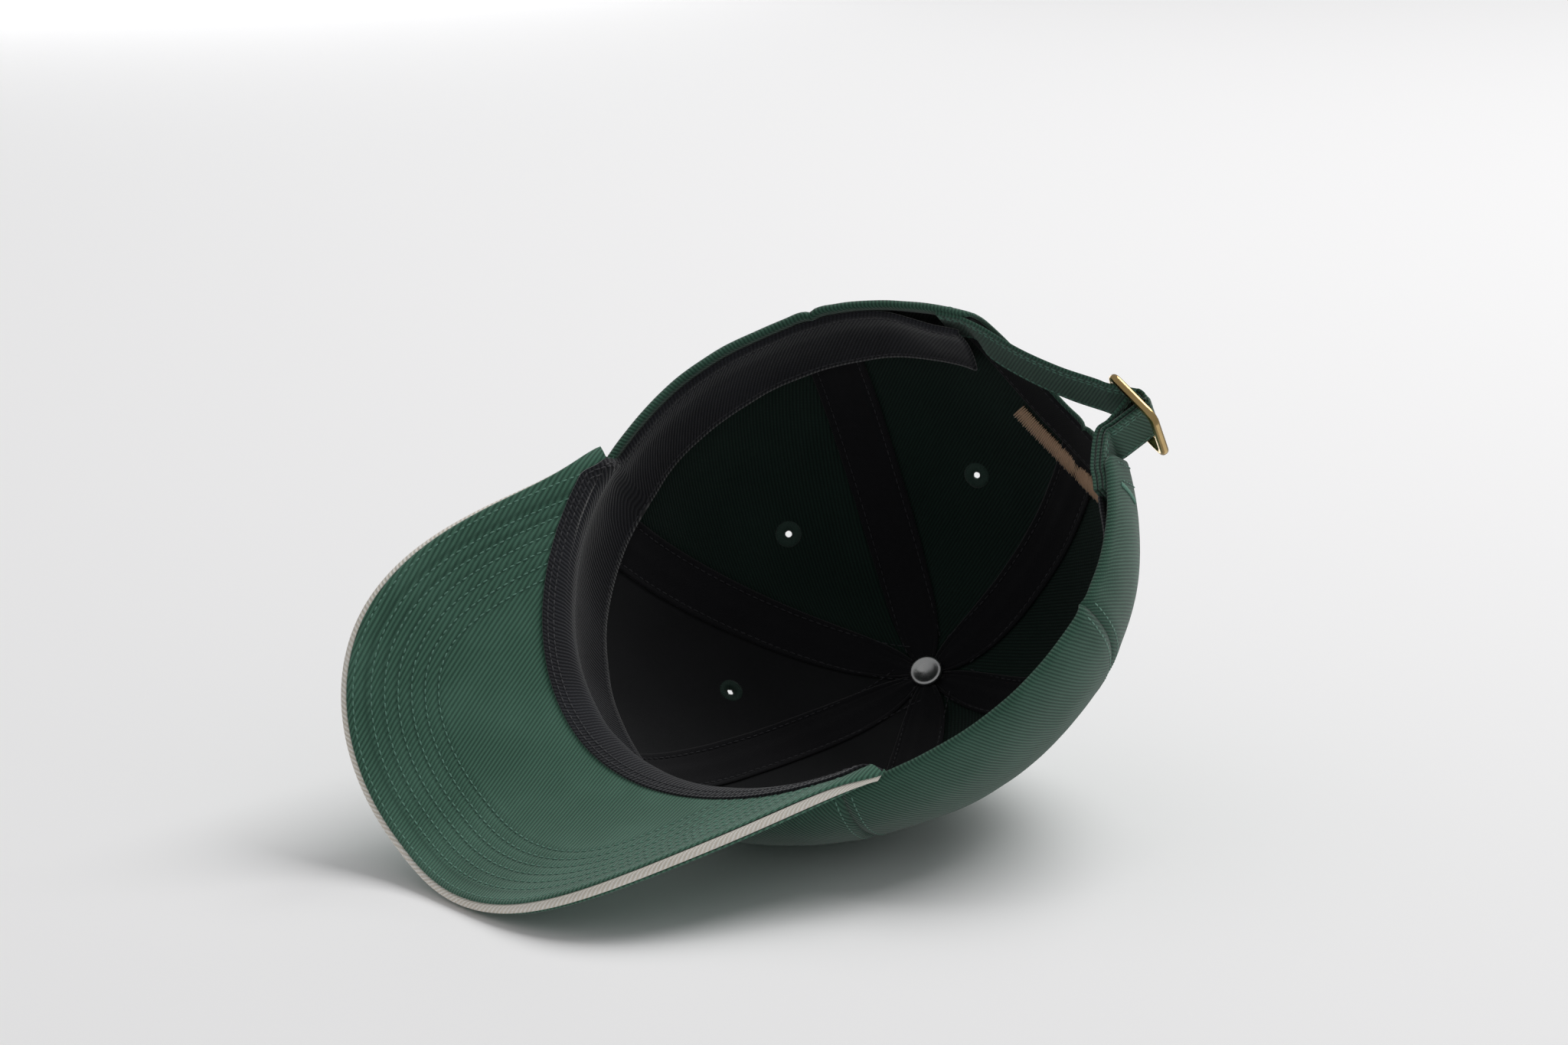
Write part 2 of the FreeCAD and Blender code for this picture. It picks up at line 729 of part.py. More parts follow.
def make_strap():
    """Long strap: sewn inside the left rear corner, over the bar and tucked in on the right."""
    centre = bar_place()
    start = [wall_station(corner_theta(extra), TAIL_MIDDLE) for extra in (9.0, 5.0, 1.0)]
    cross = clear_half_width() - 1.5
    exit_point = V(cross, wall_y(cross) - TAIL_MIDDLE, 0)
    under = size("buckle_thickness") / 2 + 2 * size("strap_gap") + size("strap_thickness") / 2
    end_bar = size("buckle_length") / 2 - size("buckle_rail") / 2
    left_bar = V(centre.x + end_bar, centre.y - under, 0)
    span = left_bar - exit_point
    free = []
    for share in (0.0, 0.33, 0.66, 0.92):
        free.append(free_station(exit_point.x + span.x * share, exit_point.y + span.y * share))
    passing = [free_station(left_bar.x - 1.0, left_bar.y + 0.2)]
    over = around_bar(STRAP_RADIUS, (140, 115, 90, 65, 40, 15))
    route = start + free + passing + over + strand_to_corner(0.0)
    return feature("closure_strap", ribbon(route, size("strap_thickness")))


def make_loop():
    """Short loop, sewn inside the right rear corner, that holds the buckle bar."""
    over = around_bar(LOOP_RADIUS, (180, 150, 120, 90, 60, 30, 0))
    down = strand_to_corner(LOOP_OUTER)
    up = strand_to_corner(LOOP_INNER)
    up.reverse()
    return feature("buckle_loop", ribbon(up + over + down, size("loop_thickness")))


def rounded_window(sketch, first, half_x, half_y, wide, tall):
    """A rectangle centred on the sketch's origin, driven by two expressions."""
    corners = ((-half_x, -half_y), (half_x, -half_y), (half_x, half_y), (-half_x, half_y))
    for i in range(4):
        start, stop = corners[i], corners[(i + 1) % 4]
        sketch.addGeometry(Part.LineSegment(V(*start, 0), V(*stop, 0)), False)
    for i in range(4):
        sketch.addConstraint(Sketcher.Constraint("Coincident", first + i, 2, first + (i + 1) % 4, 1))
    for i, kind in enumerate(("Horizontal", "Vertical", "Horizontal", "Vertical")):
        sketch.addConstraint(Sketcher.Constraint(kind, first + i))
    sketch.addConstraint(Sketcher.Constraint("Symmetric", first, 1, first + 2, 1, -1, 1))
    spans = (("DistanceX", first, 2 * half_x, wide), ("DistanceY", first + 1, 2 * half_y, tall))
    for kind, edge, value, text in spans:
        index = sketch.addConstraint(Sketcher.Constraint(kind, edge, 1, edge, 2, value))
        name = "size_%d" % index
        sketch.renameConstraint(index, name)
        sketch.setExpression("Constraints." + name, text)


def make_buckle():
    """Slider frame with two end bars and bored rails, and the bar pressed into the bores."""
    window_high = "Dimensions.strap_width + 2 * Dimensions.buckle_clearance"
    full_high = window_high + " + 2 * Dimensions.buckle_rail"
    length = "Dimensions.buckle_length"
    body = doc.addObject("PartDesign::Body", "buckle_frame")
    outline = origin_sketch(body, "buckle_outline", "XY_Plane")
    rounded_window(outline, 0, evaluate(length) / 2, evaluate(full_high) / 2, length, full_high)
    plate = body.newObject("PartDesign::Pad", "buckle_plate")
    plate.Profile = outline
    plate.setExpression("Length", "Dimensions.buckle_thickness")
    plate.Midplane = True
    doc.recompute()
    window = origin_sketch(body, "buckle_window", "XY_Plane")
    inner = length + " - 2 * Dimensions.buckle_rail"
    rounded_window(window, 0, evaluate(inner) / 2, evaluate(window_high) / 2, inner, window_high)
    slot = body.newObject("PartDesign::Pocket", "buckle_slot")
    slot.Profile = window
    slot.Type = "ThroughAll"
    slot.Midplane = True
    body.Tip = slot
    doc.recompute()
    corners = [name for name in vertical_edges(slot.Shape)]
    rounded = round_edges(body, slot, "buckle_corner", corners, "Dimensions.buckle_rail * 0.8")
    bore = origin_sketch(body, "buckle_bore", "XZ_Plane")
    bore.addGeometry(Part.Circle(V(0, 0, 0), V(0, 0, 1), size("bar_radius")), False)
    bore.addConstraint(Sketcher.Constraint("Coincident", 0, 3, -1, 1))
    index = bore.addConstraint(Sketcher.Constraint("Radius", 0, size("bar_radius")))
    bore.renameConstraint(index, "bore_radius")
    bore.setExpression("Constraints.bore_radius", "Dimensions.bar_radius")
    drill = body.newObject("PartDesign::Pocket", "buckle_drill")
    drill.Profile = bore
    drill.Midplane = True
    drill.setExpression("Length", window_high + " + 2 * Dimensions.bar_seat")
    body.Tip = drill
    doc.recompute()
    faces = long_outer_edges(drill.Shape)
    round_edges(body, drill, "buckle_soft", faces, "Dimensions.buckle_round")
    centre = bar_place()
    turn = FreeCAD.Matrix(-1, 0, 0, centre.x, 0, 0, 1, centre.y, 0, 1, 0, STRAP_MIDDLE, 0, 0, 0, 1)
    body.Placement = FreeCAD.Placement(turn)
    doc.recompute()
    keep(body, "buckle_frame")
    bar = doc.addObject("Part::Cylinder", "buckle_bar")
    bar.setExpression("Radius", "Dimensions.bar_radius")
    bar.setExpression("Height", window_high + " + 2 * Dimensions.bar_seat")
    doc.recompute()
    foot = STRAP_MIDDLE - bar.Height.Value / 2
    bar.Placement = FreeCAD.Placement(V(centre.x, centre.y, foot), FreeCAD.Rotation())
    keep(bar, "buckle_bar")


def vertical_edges(shape):
    """Names of the straight edges along the body's Z axis."""
    for i, edge in enumerate(shape.Edges, start=1):
        if isinstance(edge.Curve, Part.Line) and abs(edge.Curve.Direction.z) > 0.99:
            yield "Edge%d" % i


def long_outer_edges(shape):
    """Names of the edges that lie in the frame's two faces."""
    half = size("buckle_thickness") / 2
    found = []
    for i, edge in enumerate(shape.Edges, start=1):
        box = edge.BoundBox
        flat = box.ZLength < 1e-4
        if flat and abs(abs(box.ZMin) - half) < 1e-4:
            found.append("Edge%d" % i)
    return found


def make_bartack(label, theta):
    """Dense bar of thread outside the crown, over a sewn strap end."""
    bar = doc.addObject("Part::Box", label)
    bar.setExpression("Length", "Dimensions.bartack_width")
    bar.setExpression("Width", "Dimensions.bartack_length")
    bar.setExpression("Height", "Dimensions.bartack_height")
    doc.recompute()
    rise = rise_at(theta, STRAP_MIDDLE)
    normal = crown_normal(theta, rise)
    up = crown_point(theta, rise + STEP) - crown_point(theta, rise - STEP)
    side = up.cross(normal).normalize()
    turn = FreeCAD.Rotation(side, up.normalize(), normal, "ZYX")
    standoff = 4 * GAP
    middle = turn.multVec(V(bar.Length.Value / 2, bar.Width.Value / 2, 0))
    bar.Placement = FreeCAD.Placement(crown_point(theta, rise) + normal * standoff - middle, turn)
    return keep(bar, label)


def make_closure():
    make_strap()
    make_loop()
    make_buckle()
    make_bartack("strap_bartack_left", corner_theta(7.0))
    make_bartack("strap_bartack_right", -corner_theta(7.0))


# ---------------------------------------------------------------- build, check, write

make_crown()
make_brim()
make_eyelets()
make_button()
make_rivet()
make_closure()
doc.recompute()

for obj in doc.Objects:
    if "Invalid" in obj.State or "Error" in obj.State:
        raise RuntimeError("%s did not compute: %s" % (obj.Label, obj.State))
for obj in pieces:
    if obj.Shape.isNull() or not obj.Shape.isValid() or not obj.Shape.Solids:
        raise RuntimeError("%s has no valid solid" % obj.Label)

os.makedirs("parts", exist_ok=True)
for obj in pieces:
    obj.Shape.exportStep(os.path.join("parts", obj.Label + ".step"))
    print("%-24s %9.1f mm3  %d solid" % (obj.Label, obj.Shape.Volume, len(obj.Shape.Solids)))
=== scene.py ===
# %% [markdown]
# # A six-panel cotton cap, lying on its side
# The cap is sewn from six panels, a stiffened brim and a strap with a buckle. The CAD model
# says where each piece is, so this lesson builds every piece again from the same few
# measures, and gives it the folds, stitches and cloth that CAD leaves out.

# %% The frame
import math

import bmesh
import bpy
from mathutils import Matrix, Vector, noise
from mathutils.kdtree import KDTree


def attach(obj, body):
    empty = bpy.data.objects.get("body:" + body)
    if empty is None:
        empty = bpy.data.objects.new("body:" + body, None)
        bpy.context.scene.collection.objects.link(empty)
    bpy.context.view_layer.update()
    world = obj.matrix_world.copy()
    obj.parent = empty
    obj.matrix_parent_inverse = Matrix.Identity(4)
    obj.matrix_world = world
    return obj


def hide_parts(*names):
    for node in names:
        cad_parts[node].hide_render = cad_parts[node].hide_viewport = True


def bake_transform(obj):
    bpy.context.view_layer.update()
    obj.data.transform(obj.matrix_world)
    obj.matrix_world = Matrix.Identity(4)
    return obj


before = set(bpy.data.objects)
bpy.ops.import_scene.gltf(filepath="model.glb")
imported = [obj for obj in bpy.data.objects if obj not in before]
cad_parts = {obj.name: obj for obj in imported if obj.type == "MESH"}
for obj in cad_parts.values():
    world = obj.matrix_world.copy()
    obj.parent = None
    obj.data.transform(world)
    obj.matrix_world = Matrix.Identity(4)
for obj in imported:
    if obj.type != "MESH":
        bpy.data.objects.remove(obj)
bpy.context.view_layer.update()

MM = 0.001


def put(name, data):
    """A new object in the scene."""
    thing = bpy.data.objects.new(name, data)
    bpy.context.scene.collection.objects.link(thing)
    return thing


# %% [markdown]
# ## The shape of the crown
# The crown is one smooth surface: an oval rim, and a profile that rises from it to the
# button. Every layer of cloth lies at its own depth below that surface, so one pair of
# functions places them all. The angle theta starts at the front and turns to the wearer's
# left, and rise goes from 0 at the rim to 1 at the top.

# %% Measures of the crown, in millimetres
HALF_WIDTH = 88.0
HALF_LENGTH = 96.5
FRONT_TAPER = 0.035
FRONT_RISE = 14.0
CROWN_HEIGHT = 110.0
CROWN_SETBACK = 12.0
FULLNESS = 2.1
BACK_FULLNESS = 0.55
RISE_POWER = 1.7
BOW = 0.675


def rim_point(theta):
    """The rim of the crown."""
    x = HALF_WIDTH * math.sin(theta) * (1 - FRONT_TAPER * math.cos(theta))
    y = -HALF_LENGTH * math.cos(theta)
    z = FRONT_RISE * max(math.cos(theta), 0.0) ** 2
    return Vector((x, y, z))


def crown_point(theta, rise):
    """The outside of the crown before any wrinkle."""
    base = rim_point(theta)
    fullness = FULLNESS - BACK_FULLNESS * math.cos(theta)
    inward = max(math.cos(rise * math.pi / 2), 0.0) ** (2 / fullness)
    upward = max(math.sin(rise * math.pi / 2), 0.0) ** (2 / RISE_POWER)
    reach = inward * (1 + BOW * rise * (1 - rise) ** 2)
    x = base.x * reach
    y = base.y * reach + CROWN_SETBACK * (1 - inward)
    z = base.z * (1 - upward) + CROWN_HEIGHT * upward
    return Vector((x, y, z))


print("crown top", [round(x, 1) for x in crown_point(0, 1)])

# %% [markdown]
# ### Directions on the crown
# A layer of cloth has to know which way is out, how far round the crown one step of theta
# goes, and which rise lies at a given height. Each is measured on the surface itself, with
# two points a very small step apart, so the sums above can change and these still hold.

# %% Directions and heights
STEP = 0.001
CROWN_EYE = 4.0
STEADY_RISE = 0.02


def crown_normal(theta, rise):
    """The outward direction, kept steady close to the rim."""
    rise = max(rise, STEADY_RISE)
    around = crown_point(theta + STEP, rise) - crown_point(theta - STEP, rise)
    up = crown_point(theta, rise + STEP) - crown_point(theta, rise - STEP)
    return around.cross(up).normalized()


def crown_radius(theta, rise):
    """How many millimetres round the crown one unit of theta is."""
    return (crown_point(theta + STEP, rise) - crown_point(theta - STEP, rise)).length / (2 * STEP)


def rise_at(theta, height):
    """The rise at a height above the rim."""
    share = max(height, 0.0) / (CROWN_HEIGHT - rim_point(theta).z)
    return 2 / math.pi * math.asin(min(share, 1.0) ** (RISE_POWER / 2))


def top_rise(theta, eye=CROWN_EYE):
    """Where the panels stop, at the small opening under the button."""
    low, high = 0.5, 1.0
    for _ in range(24):
        middle = (low + high) / 2
        point = crown_point(theta, middle)
        if math.hypot(point.x, point.y - CROWN_SETBACK) > eye:
            low = middle
        else:
            high = middle
    return low


print("panels stop at rise", round(top_rise(0.0), 3))

# %% [markdown]
# ### Soft folds
# Worn cotton never lies quite flat. Two clouds of noise, one broad and one small, sink and
# lift the wall. Every layer takes the same folds, so no layer breaks through its neighbour.


# %% Wrinkles
def wrinkle(point):
    """How far the cloth sinks or swells at a place, in soft folds."""
    broad = noise.noise(point / 34.0) * 0.9
    small = noise.noise(point / 12.0 + Vector((7.0, 0.0, 3.0))) * 0.22
    return broad + small


def on_crown(theta, rise, depth):
    """A point of a layer that lies depth below the outside."""
    point = crown_point(theta, rise)
    return point - crown_normal(theta, rise) * (depth + wrinkle(point))


def ramp(share):
    """A smooth step from 0 to 1."""
    share = min(max(share, 0.0), 1.0)
    return share * share * (3 - 2 * share)


def spread(low, high, count):
    """Evenly spaced numbers, both ends included."""
    return [low + (high - low) * i / (count - 1) for i in range(count)]


print("deepest fold", round(max(wrinkle(crown_point(a / 5, 0.5)) for a in range(31)), 2), "mm")

# %% [markdown]
# ## Camera and floor
# The cap lies on its side on a white table, its opening towards the camera. The frame
# stays upright as it is worn, so the table is a tilted plane that touches the crown and
# the brim. A tilted floor is simpler than turning every piece, and the camera turns with it.

# %% The camera
CAMERA_PLACE = Vector((-0.7122, -0.1690, -1.1158))
CAMERA_LOOK = Vector((0.54224, 0.12149, 0.83139)).normalized()
TABLE_UP = Vector((0.466, 0.548, -0.695)).normalized()
TABLE_LEVEL = -0.0987

toward = -CAMERA_LOOK
across = Vector((-0.55872, 0.79116, 0.24880)).normalized()
camera_up = toward.cross(across).normalized()
turn = Matrix((across, camera_up, toward)).transposed()
camera_data = bpy.data.cameras.new("camera")
camera_data.lens = 94.33
camera_data.sensor_width = 36.0
camera_data.clip_start = 0.05
camera_data.clip_end = 60.0
camera = put("camera", camera_data)
camera.matrix_world = Matrix.Translation(CAMERA_PLACE) @ turn.to_4x4()
bpy.context.scene.camera = camera
stands = CAMERA_PLACE.dot(TABLE_UP) - TABLE_LEVEL
print("camera stands", round(stands / MM), "mm above the table")

# %% [markdown]
# ## Shader sums as Python sums
# A pattern is a sum of waves, and a sum in nodes takes many nodes. A small class wraps a
# socket, so that a + b adds the Math node. One method makes any other node: its settings
# are set first, then its inputs.


# %% Sockets that add up
class Flow:
    """A node's output that can be added, taken away and multiplied."""

    def __init__(self, finish, output):
        self.finish = finish
        self.output = output

    def math(self, operation, first, second=0.0):
        return self.finish.add("ShaderNodeMath", {"operation": operation}, {0: first, 1: second})

    def __add__(self, other):
        return self.math("ADD", self, other)

    def __radd__(self, other):
        return self.math("ADD", other, self)

    def __sub__(self, other):
        return self.math("SUBTRACT", self, other)

    def __rsub__(self, other):
        return self.math("SUBTRACT", other, self)

    def __mul__(self, other):
        return self.math("MULTIPLY", self, other)

    def __rmul__(self, other):
        return self.math("MULTIPLY", other, self)

    def sine(self):
        return self.math("SINE", self)


print("a flow knows", sorted(word for word in vars(Flow) if not word.startswith("__")))

# %% [markdown]
# ### One finish, one shader
# Each finish is a material with one Principled shader. The finish adds nodes, mixes
# colours, reads the cloth's chart or the object's own place, and sets the shader's sockets.


# %% A finish
class Finish:
    """A material with one Principled shader."""

    def __init__(self, name):
        self.material = bpy.data.materials.new(name)
        self.material.use_nodes = True
        self.tree = self.material.node_tree
        self.tree.nodes.clear()
        self.shader = self.tree.nodes.new("ShaderNodeBsdfPrincipled")
        self.end = self.tree.nodes.new("ShaderNodeOutputMaterial")
        self.tree.links.new(self.shader.outputs["BSDF"], self.end.inputs["Surface"])

    def add(self, kind, settings=None, inputs=None, output=0):
        """Any node: settings first, then values or flows for its sockets."""
        node = self.tree.nodes.new(kind)
        for key, value in (settings or {}).items():
            setattr(node, key, value)
        for key, value in (inputs or {}).items():
            self.feed(node.inputs[key], value)
        return Flow(self, node.outputs[output])

    def feed(self, socket, value):
        """Link a flow to a socket, or set a plain value on it."""
        if isinstance(value, Flow):
            self.tree.links.new(value.output, socket)
        else:
            socket.default_value = value

    def mix(self, share, first, second):
        """A mixed colour; first and second are colours or flows."""
        return self.add("ShaderNodeMix", {"data_type": "RGBA"}, {0: share, 6: first, 7: second}, 2)

    def split(self, vector):
        """The x, y and z of a vector flow."""
        parts = self.tree.nodes.new("ShaderNodeSeparateXYZ")
        self.tree.links.new(vector.output, parts.inputs[0])
        return [Flow(self, socket) for socket in parts.outputs]

    def cloth_place(self):
        """Across and along the cloth, in millimetres."""
        return self.split(self.add("ShaderNodeUVMap", {"uv_map": "cloth"}))

    def object_place(self):
        """The place on the object itself, in metres."""
        return self.add("ShaderNodeTexCoord", None, None, "Object")

    def cloud(self, size_mm, detail=3.0):
        """Soft noise whose features are about size_mm wide."""
        inputs = {"Vector": self.object_place(), "Scale": 1000.0 / size_mm, "Detail": detail}
        return self.add("ShaderNodeTexNoise", None, inputs)

    def surface(self, **values):
        """Set the shader's sockets; an underscore stands for a space."""
        for key, value in values.items():
            self.feed(self.shader.inputs[key.replace("_", " ")], value)

    def bump(self, height, strength, depth_mm):
        """Relief that is depth_mm deep."""
        inputs = {"Height": height, "Strength": strength, "Distance": depth_mm * MM}
        self.surface(Normal=self.add("ShaderNodeBump", None, inputs))


def rgb(red, green, blue):
    """An opaque colour, in linear light."""
    return (red, green, blue, 1.0)


print("a finish knows", sorted(word for word in vars(Finish) if not word.startswith("__")))

# %% [markdown]
# ## Twill
# Twill is woven so that its ribs run slantwise. A wave across the slant gives the ribs, a
# finer wave along them gives the yarns, and noise keeps both from looking machined. The
# cloth's own chart is in millimetres, so the rib stays the same width on every piece. Worn
# cotton is paler where it bulges, so slow clouds mix in a faded colour.


# %% Slant-ribbed cotton
YARN_PITCH = 0.6


def twill(name, deep, full, faded, pitch=1.15, slant=28.0, sheen=0.25, rows=False):
    """Cotton in three tones; rows paints shade on the cloth along its lines of stitches."""
    f = Finish(name)
    u, v, _ = f.cloth_place()
    along, up = math.cos(math.radians(slant)) * math.tau, math.sin(math.radians(slant)) * math.tau
    waver = f.cloud(7.0) * 1.6
    ribs = u * (along / pitch) + v * (up / pitch)
    rib = (ribs + waver).sine() * 0.5 + 0.5
    yarns = v * (along / YARN_PITCH) - u * (up / YARN_PITCH)
    yarn = (yarns + rib * 2.0).sine() * 0.5 + 0.5
    fibre = f.cloud(0.5, 5.0)
    height = rib * 0.7 + yarn * rib * 0.3 + fibre * 0.25
    tone = f.mix(height, deep, full)
    worn = {"Value": f.cloud(26.0, 6.0), "From Min": 0.42, "From Max": 0.72}
    wear = f.add("ShaderNodeMapRange", None, worn)
    colour = f.mix(wear * 0.35 * (0.4 + height * 0.6), tone, faded)
    # Painted shade: the cloth is darkened along the rows of stitches, in the grooves between its
    # swells.
    if rows:
        near = f.add("ShaderNodeAttribute", {"attribute_name": "row"}, None, "Fac")
        colour = f.mix(near * 0.5, colour, deep)
    f.surface(Base_Color=colour, Roughness=0.82 + fibre * 0.14)
    f.surface(Sheen_Weight=sheen, Sheen_Roughness=0.45, Specular_IOR_Level=0.25)
    f.bump(height, 0.7, 0.28)
    return f.material


def tones(*triples):
    """The deep, full and faded tones of a cloth."""
    return [rgb(*triple) for triple in triples]


GREEN_DEEP, GREEN_FULL, GREEN_FADED = tones(
    (0.013, 0.040, 0.028), (0.048, 0.126, 0.085), (0.085, 0.190, 0.140)
)
# The brim's covers take a lighter copy of the crown's green: painted light on the brim.
BRIM_TONES_PAINTED_LIGHT = tones((0.020, 0.060, 0.041), (0.078, 0.195, 0.134), (0.135, 0.290, 0.215))
# The inside of the crown takes the same green twill in much deeper tones: painted shade inside the
# crown.
INNER_TONES_PAINTED_SHADE = tones((0.003, 0.009, 0.007), (0.010, 0.028, 0.020), (0.018, 0.042, 0.031))
BLACK_TONES = tones((0.004, 0.004, 0.006), (0.018, 0.019, 0.024), (0.035, 0.038, 0.048))
CREAM_TONES = tones((0.66, 0.59, 0.49), (0.96, 0.93, 0.87), (0.97, 0.95, 0.91))
green_twill = twill("green_twill", GREEN_DEEP, GREEN_FULL, GREEN_FADED)
brim_twill_painted_light = twill("brim_twill_painted_light", *BRIM_TONES_PAINTED_LIGHT, rows=True)
inner_twill_painted_shade = twill("inner_twill_painted_shade", *INNER_TONES_PAINTED_SHADE)
black_twill = twill("black_twill", *BLACK_TONES, sheen=0.35)
cream_twill = twill("cream_twill", *CREAM_TONES, 1.2, 48.0, 0.1)
print("twills", [m.name for m in bpy.data.materials])

# %% [markdown]
# ### Plain cloth and thread
# The backing and the tapes are plain weave, over and under: the product of a wave each way
# is high where one yarn crosses over. Thread is twisted, and too thin for a weave to show,
# so fine noise is enough.


# %% Plain cloth and thread
def plain_cloth(name, deep, full, pitch=0.45, sheen=0.15):
    """Even over-and-under weave."""
    f = Finish(name)
    u, v, _ = f.cloth_place()
    warp = (u * (math.tau / pitch)).sine() * 0.5
    weft = (v * (math.tau / pitch)).sine() * 0.5
    fibre = f.cloud(0.6, 5.0)
    height = warp * weft * 2.0 + 0.5 + fibre * 0.3
    patch = f.cloud(18.0, 4.0)
    colour = f.mix(height * 0.5 + patch * 0.4, deep, full)
    f.surface(Base_Color=colour, Roughness=0.78 + fibre * 0.16)
    f.surface(Sheen_Weight=sheen, Sheen_Roughness=0.5, Specular_IOR_Level=0.3)
    f.bump(height, 0.4, 0.15)
    return f.material


def thread(name, deep, full, shine=0.6):
    """Twisted sewing thread."""
    f = Finish(name)
    twist = f.cloud(0.45, 4.0)
    patch = f.cloud(9.0)
    f.surface(Base_Color=f.mix(twist * 0.7 + patch * 0.3, deep, full), Roughness=shine + twist * 0.2)
    f.surface(Sheen_Weight=0.3, Specular_IOR_Level=0.4)
    f.bump(twist, 0.5, 0.12)
    return f.material


black_backing = plain_cloth("black_backing", rgb(0.003, 0.003, 0.004), rgb(0.013, 0.014, 0.016))
black_tape = plain_cloth("black_tape", rgb(0.002, 0.002, 0.003), rgb(0.009, 0.009, 0.012), 0.7)
green_thread = thread("green_thread", rgb(0.05, 0.14, 0.10), rgb(0.17, 0.38, 0.29))
# A much darker copy of the green thread for the eyelet rings: painted shade.
eyelet_thread_painted_shade = thread("eyelet_thread_painted_shade", rgb(0.006, 0.020, 0.014), rgb(0.030, 0.080, 0.058))
black_thread = thread("black_thread", rgb(0.010, 0.010, 0.013), rgb(0.045, 0.046, 0.055))
beige_thread = thread("beige_thread", rgb(0.46, 0.28, 0.17), rgb(0.90, 0.62, 0.42), 0.4)
print("cloth finishes", len(bpy.data.materials))

# %% [markdown]
# ## Metal and moulded board
# The rivet is nickel-plated steel and the buckle polished brass. Neither is a perfect
# mirror: fine scratches change the roughness, and handling leaves dull clouds.


# %% Metal and board
def metal(name, colour, dull, roughness, scratch=0.12):
    """Polished metal with fine wear."""
    f = Finish(name)
    haze = f.cloud(6.0, 5.0)
    scratches = f.cloud(0.8, 8.0)
    f.surface(Base_Color=f.mix(haze, colour, dull), Metallic=1.0)
    f.surface(Roughness=roughness + haze * scratch + scratches * 0.05)
    f.bump(haze * 0.7 + scratches * 0.3, 0.06, 0.1)
    return f.material


def moulded(name, deep, full):
    """Matt moulded sheet."""
    f = Finish(name)
    grain = f.cloud(0.7, 5.0)
    f.surface(Base_Color=f.mix(grain, deep, full), Roughness=0.55 + grain * 0.2)
    f.bump(grain, 0.25, 0.1)
    return f.material


nickel = metal("pressed_metal", rgb(0.74, 0.74, 0.73), rgb(0.48, 0.49, 0.50), 0.2)
brass = metal("brass", rgb(0.80, 0.58, 0.26), rgb(0.50, 0.34, 0.14), 0.12)
board = moulded("board", rgb(0.03, 0.03, 0.03), rgb(0.07, 0.07, 0.07))
print("hard finishes ready")

# %% [markdown]
# ## From a flat grid to a cut piece of cloth
# A cloth piece starts as a flat grid, like cloth on the cutting table, and each corner of
# the grid moves to its place on the cap. The grid keeps a chart in millimetres, which the
# weave follows. Solidify then gives the cloth its thickness towards the head.


# %% Making a piece
def centre_of(values, share):
    """The grid value at a share from -1 to 1 of its side."""
    return values[round((share + 1) / 2 * (len(values) - 1))]


def laid(us, vs, place):
    """A bmesh grid over us and vs; place(u, v) gives a point and a chart place, in mm."""
    bm = bmesh.new()
    bmesh.ops.create_grid(bm, x_segments=len(us) - 1, y_segments=len(vs) - 1, size=1)
    chart = bm.loops.layers.uv.new("cloth")
    on_chart = {}
    for vert in bm.verts:
        u, v = centre_of(us, vert.co.x), centre_of(vs, vert.co.y)
        point, flat = place(u, v)
        vert.co = point
        on_chart[vert] = flat
    for face in bm.faces:
        for loop in face.loops:
            loop[chart].uv = on_chart[loop.vert]
    return bm


def closed(bm):
    """Edges that meet are merged, and the faces turned outwards."""
    bmesh.ops.remove_doubles(bm, verts=bm.verts, dist=0.001)
    bmesh.ops.recalc_face_normals(bm, faces=bm.faces)
    return bm


print("a grid value in the middle:", centre_of([0, 1, 2], 0.0))

# %% [markdown]
# ### From a mesh to a finished piece
# The mesh is made in millimetres, as a pattern is cut, so its last step is the scale to
# metres. The piece then gets its cloth, its wall and the body it moves with, and the plain
# solids that it stands for are hidden.


# %% Finishing a piece
def finished(bm, name, material, nodes=(), thickness=0.0, body="cap", inside=None):
    """The piece as an object in metres, riding on its body; inside is a second material."""
    bmesh.ops.scale(bm, vec=(MM, MM, MM), verts=bm.verts)
    for face in bm.faces:
        face.smooth = True
    mesh = bpy.data.meshes.new(name)
    bm.to_mesh(mesh)
    bm.free()
    mesh.materials.append(material)
    piece = put(name, mesh)
    if thickness:
        wall = piece.modifiers.new("thickness", "SOLIDIFY")
        wall.thickness = thickness * MM
        wall.offset = -1.0
        if inside:
            mesh.materials.append(inside)
            wall.material_offset = 1
    if body:
        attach(piece, body)
    if nodes:
        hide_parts(*nodes)
    print(name, len(mesh.polygons), "faces")
    return piece


# %% [markdown]
# ## Where the eyelets go
# Each panel has one eyelet. The cloth is punched there, so the faces inside the ring are
# taken out, and daylight shows through.

# %% Eyelet places
EYELET_RISE = 0.55
EYELET_RADIUS = 4.6
EYELET_HOLE = 1.3
PUNCHED = 3.2
PANELS = {
    "front_panel_left": 30,
    "front_panel_right": -30,
    "side_panel_left": 90,
    "side_panel_right": -90,
    "rear_panel_left": 150,
    "rear_panel_right": -150,
}
eyelet_angles = {
    name.replace("panel", "eyelet"): math.radians(degrees) for name, degrees in PANELS.items()
}


def punch(bm):
    """Take out the faces inside the eyelets."""
    centres = [crown_point(theta, EYELET_RISE) for theta in eyelet_angles.values()]
    gone = []
    for face in bm.faces:
        middle = face.calc_center_median()
        if any((middle - centre).length < PUNCHED for centre in centres):
            gone.append(face)
    bmesh.ops.delete(bm, geom=gone, context="FACES")
    return bm


print("eyelets", sorted(eyelet_angles))

# %% [markdown]
# ## The arch at the back
# The two rear panels leave an arch for the closure. It is drawn as seen from behind, in x
# and z, and every point is carried back onto the curved wall. Its lower corners are
# rounded, because the real hem can't turn a sharp corner.

# %% The arch on the wall
ARCH_WIDE = 38.0
ARCH_TALL = 40.5
CORNER = 3.5
CORNER_SHARE = 0.12


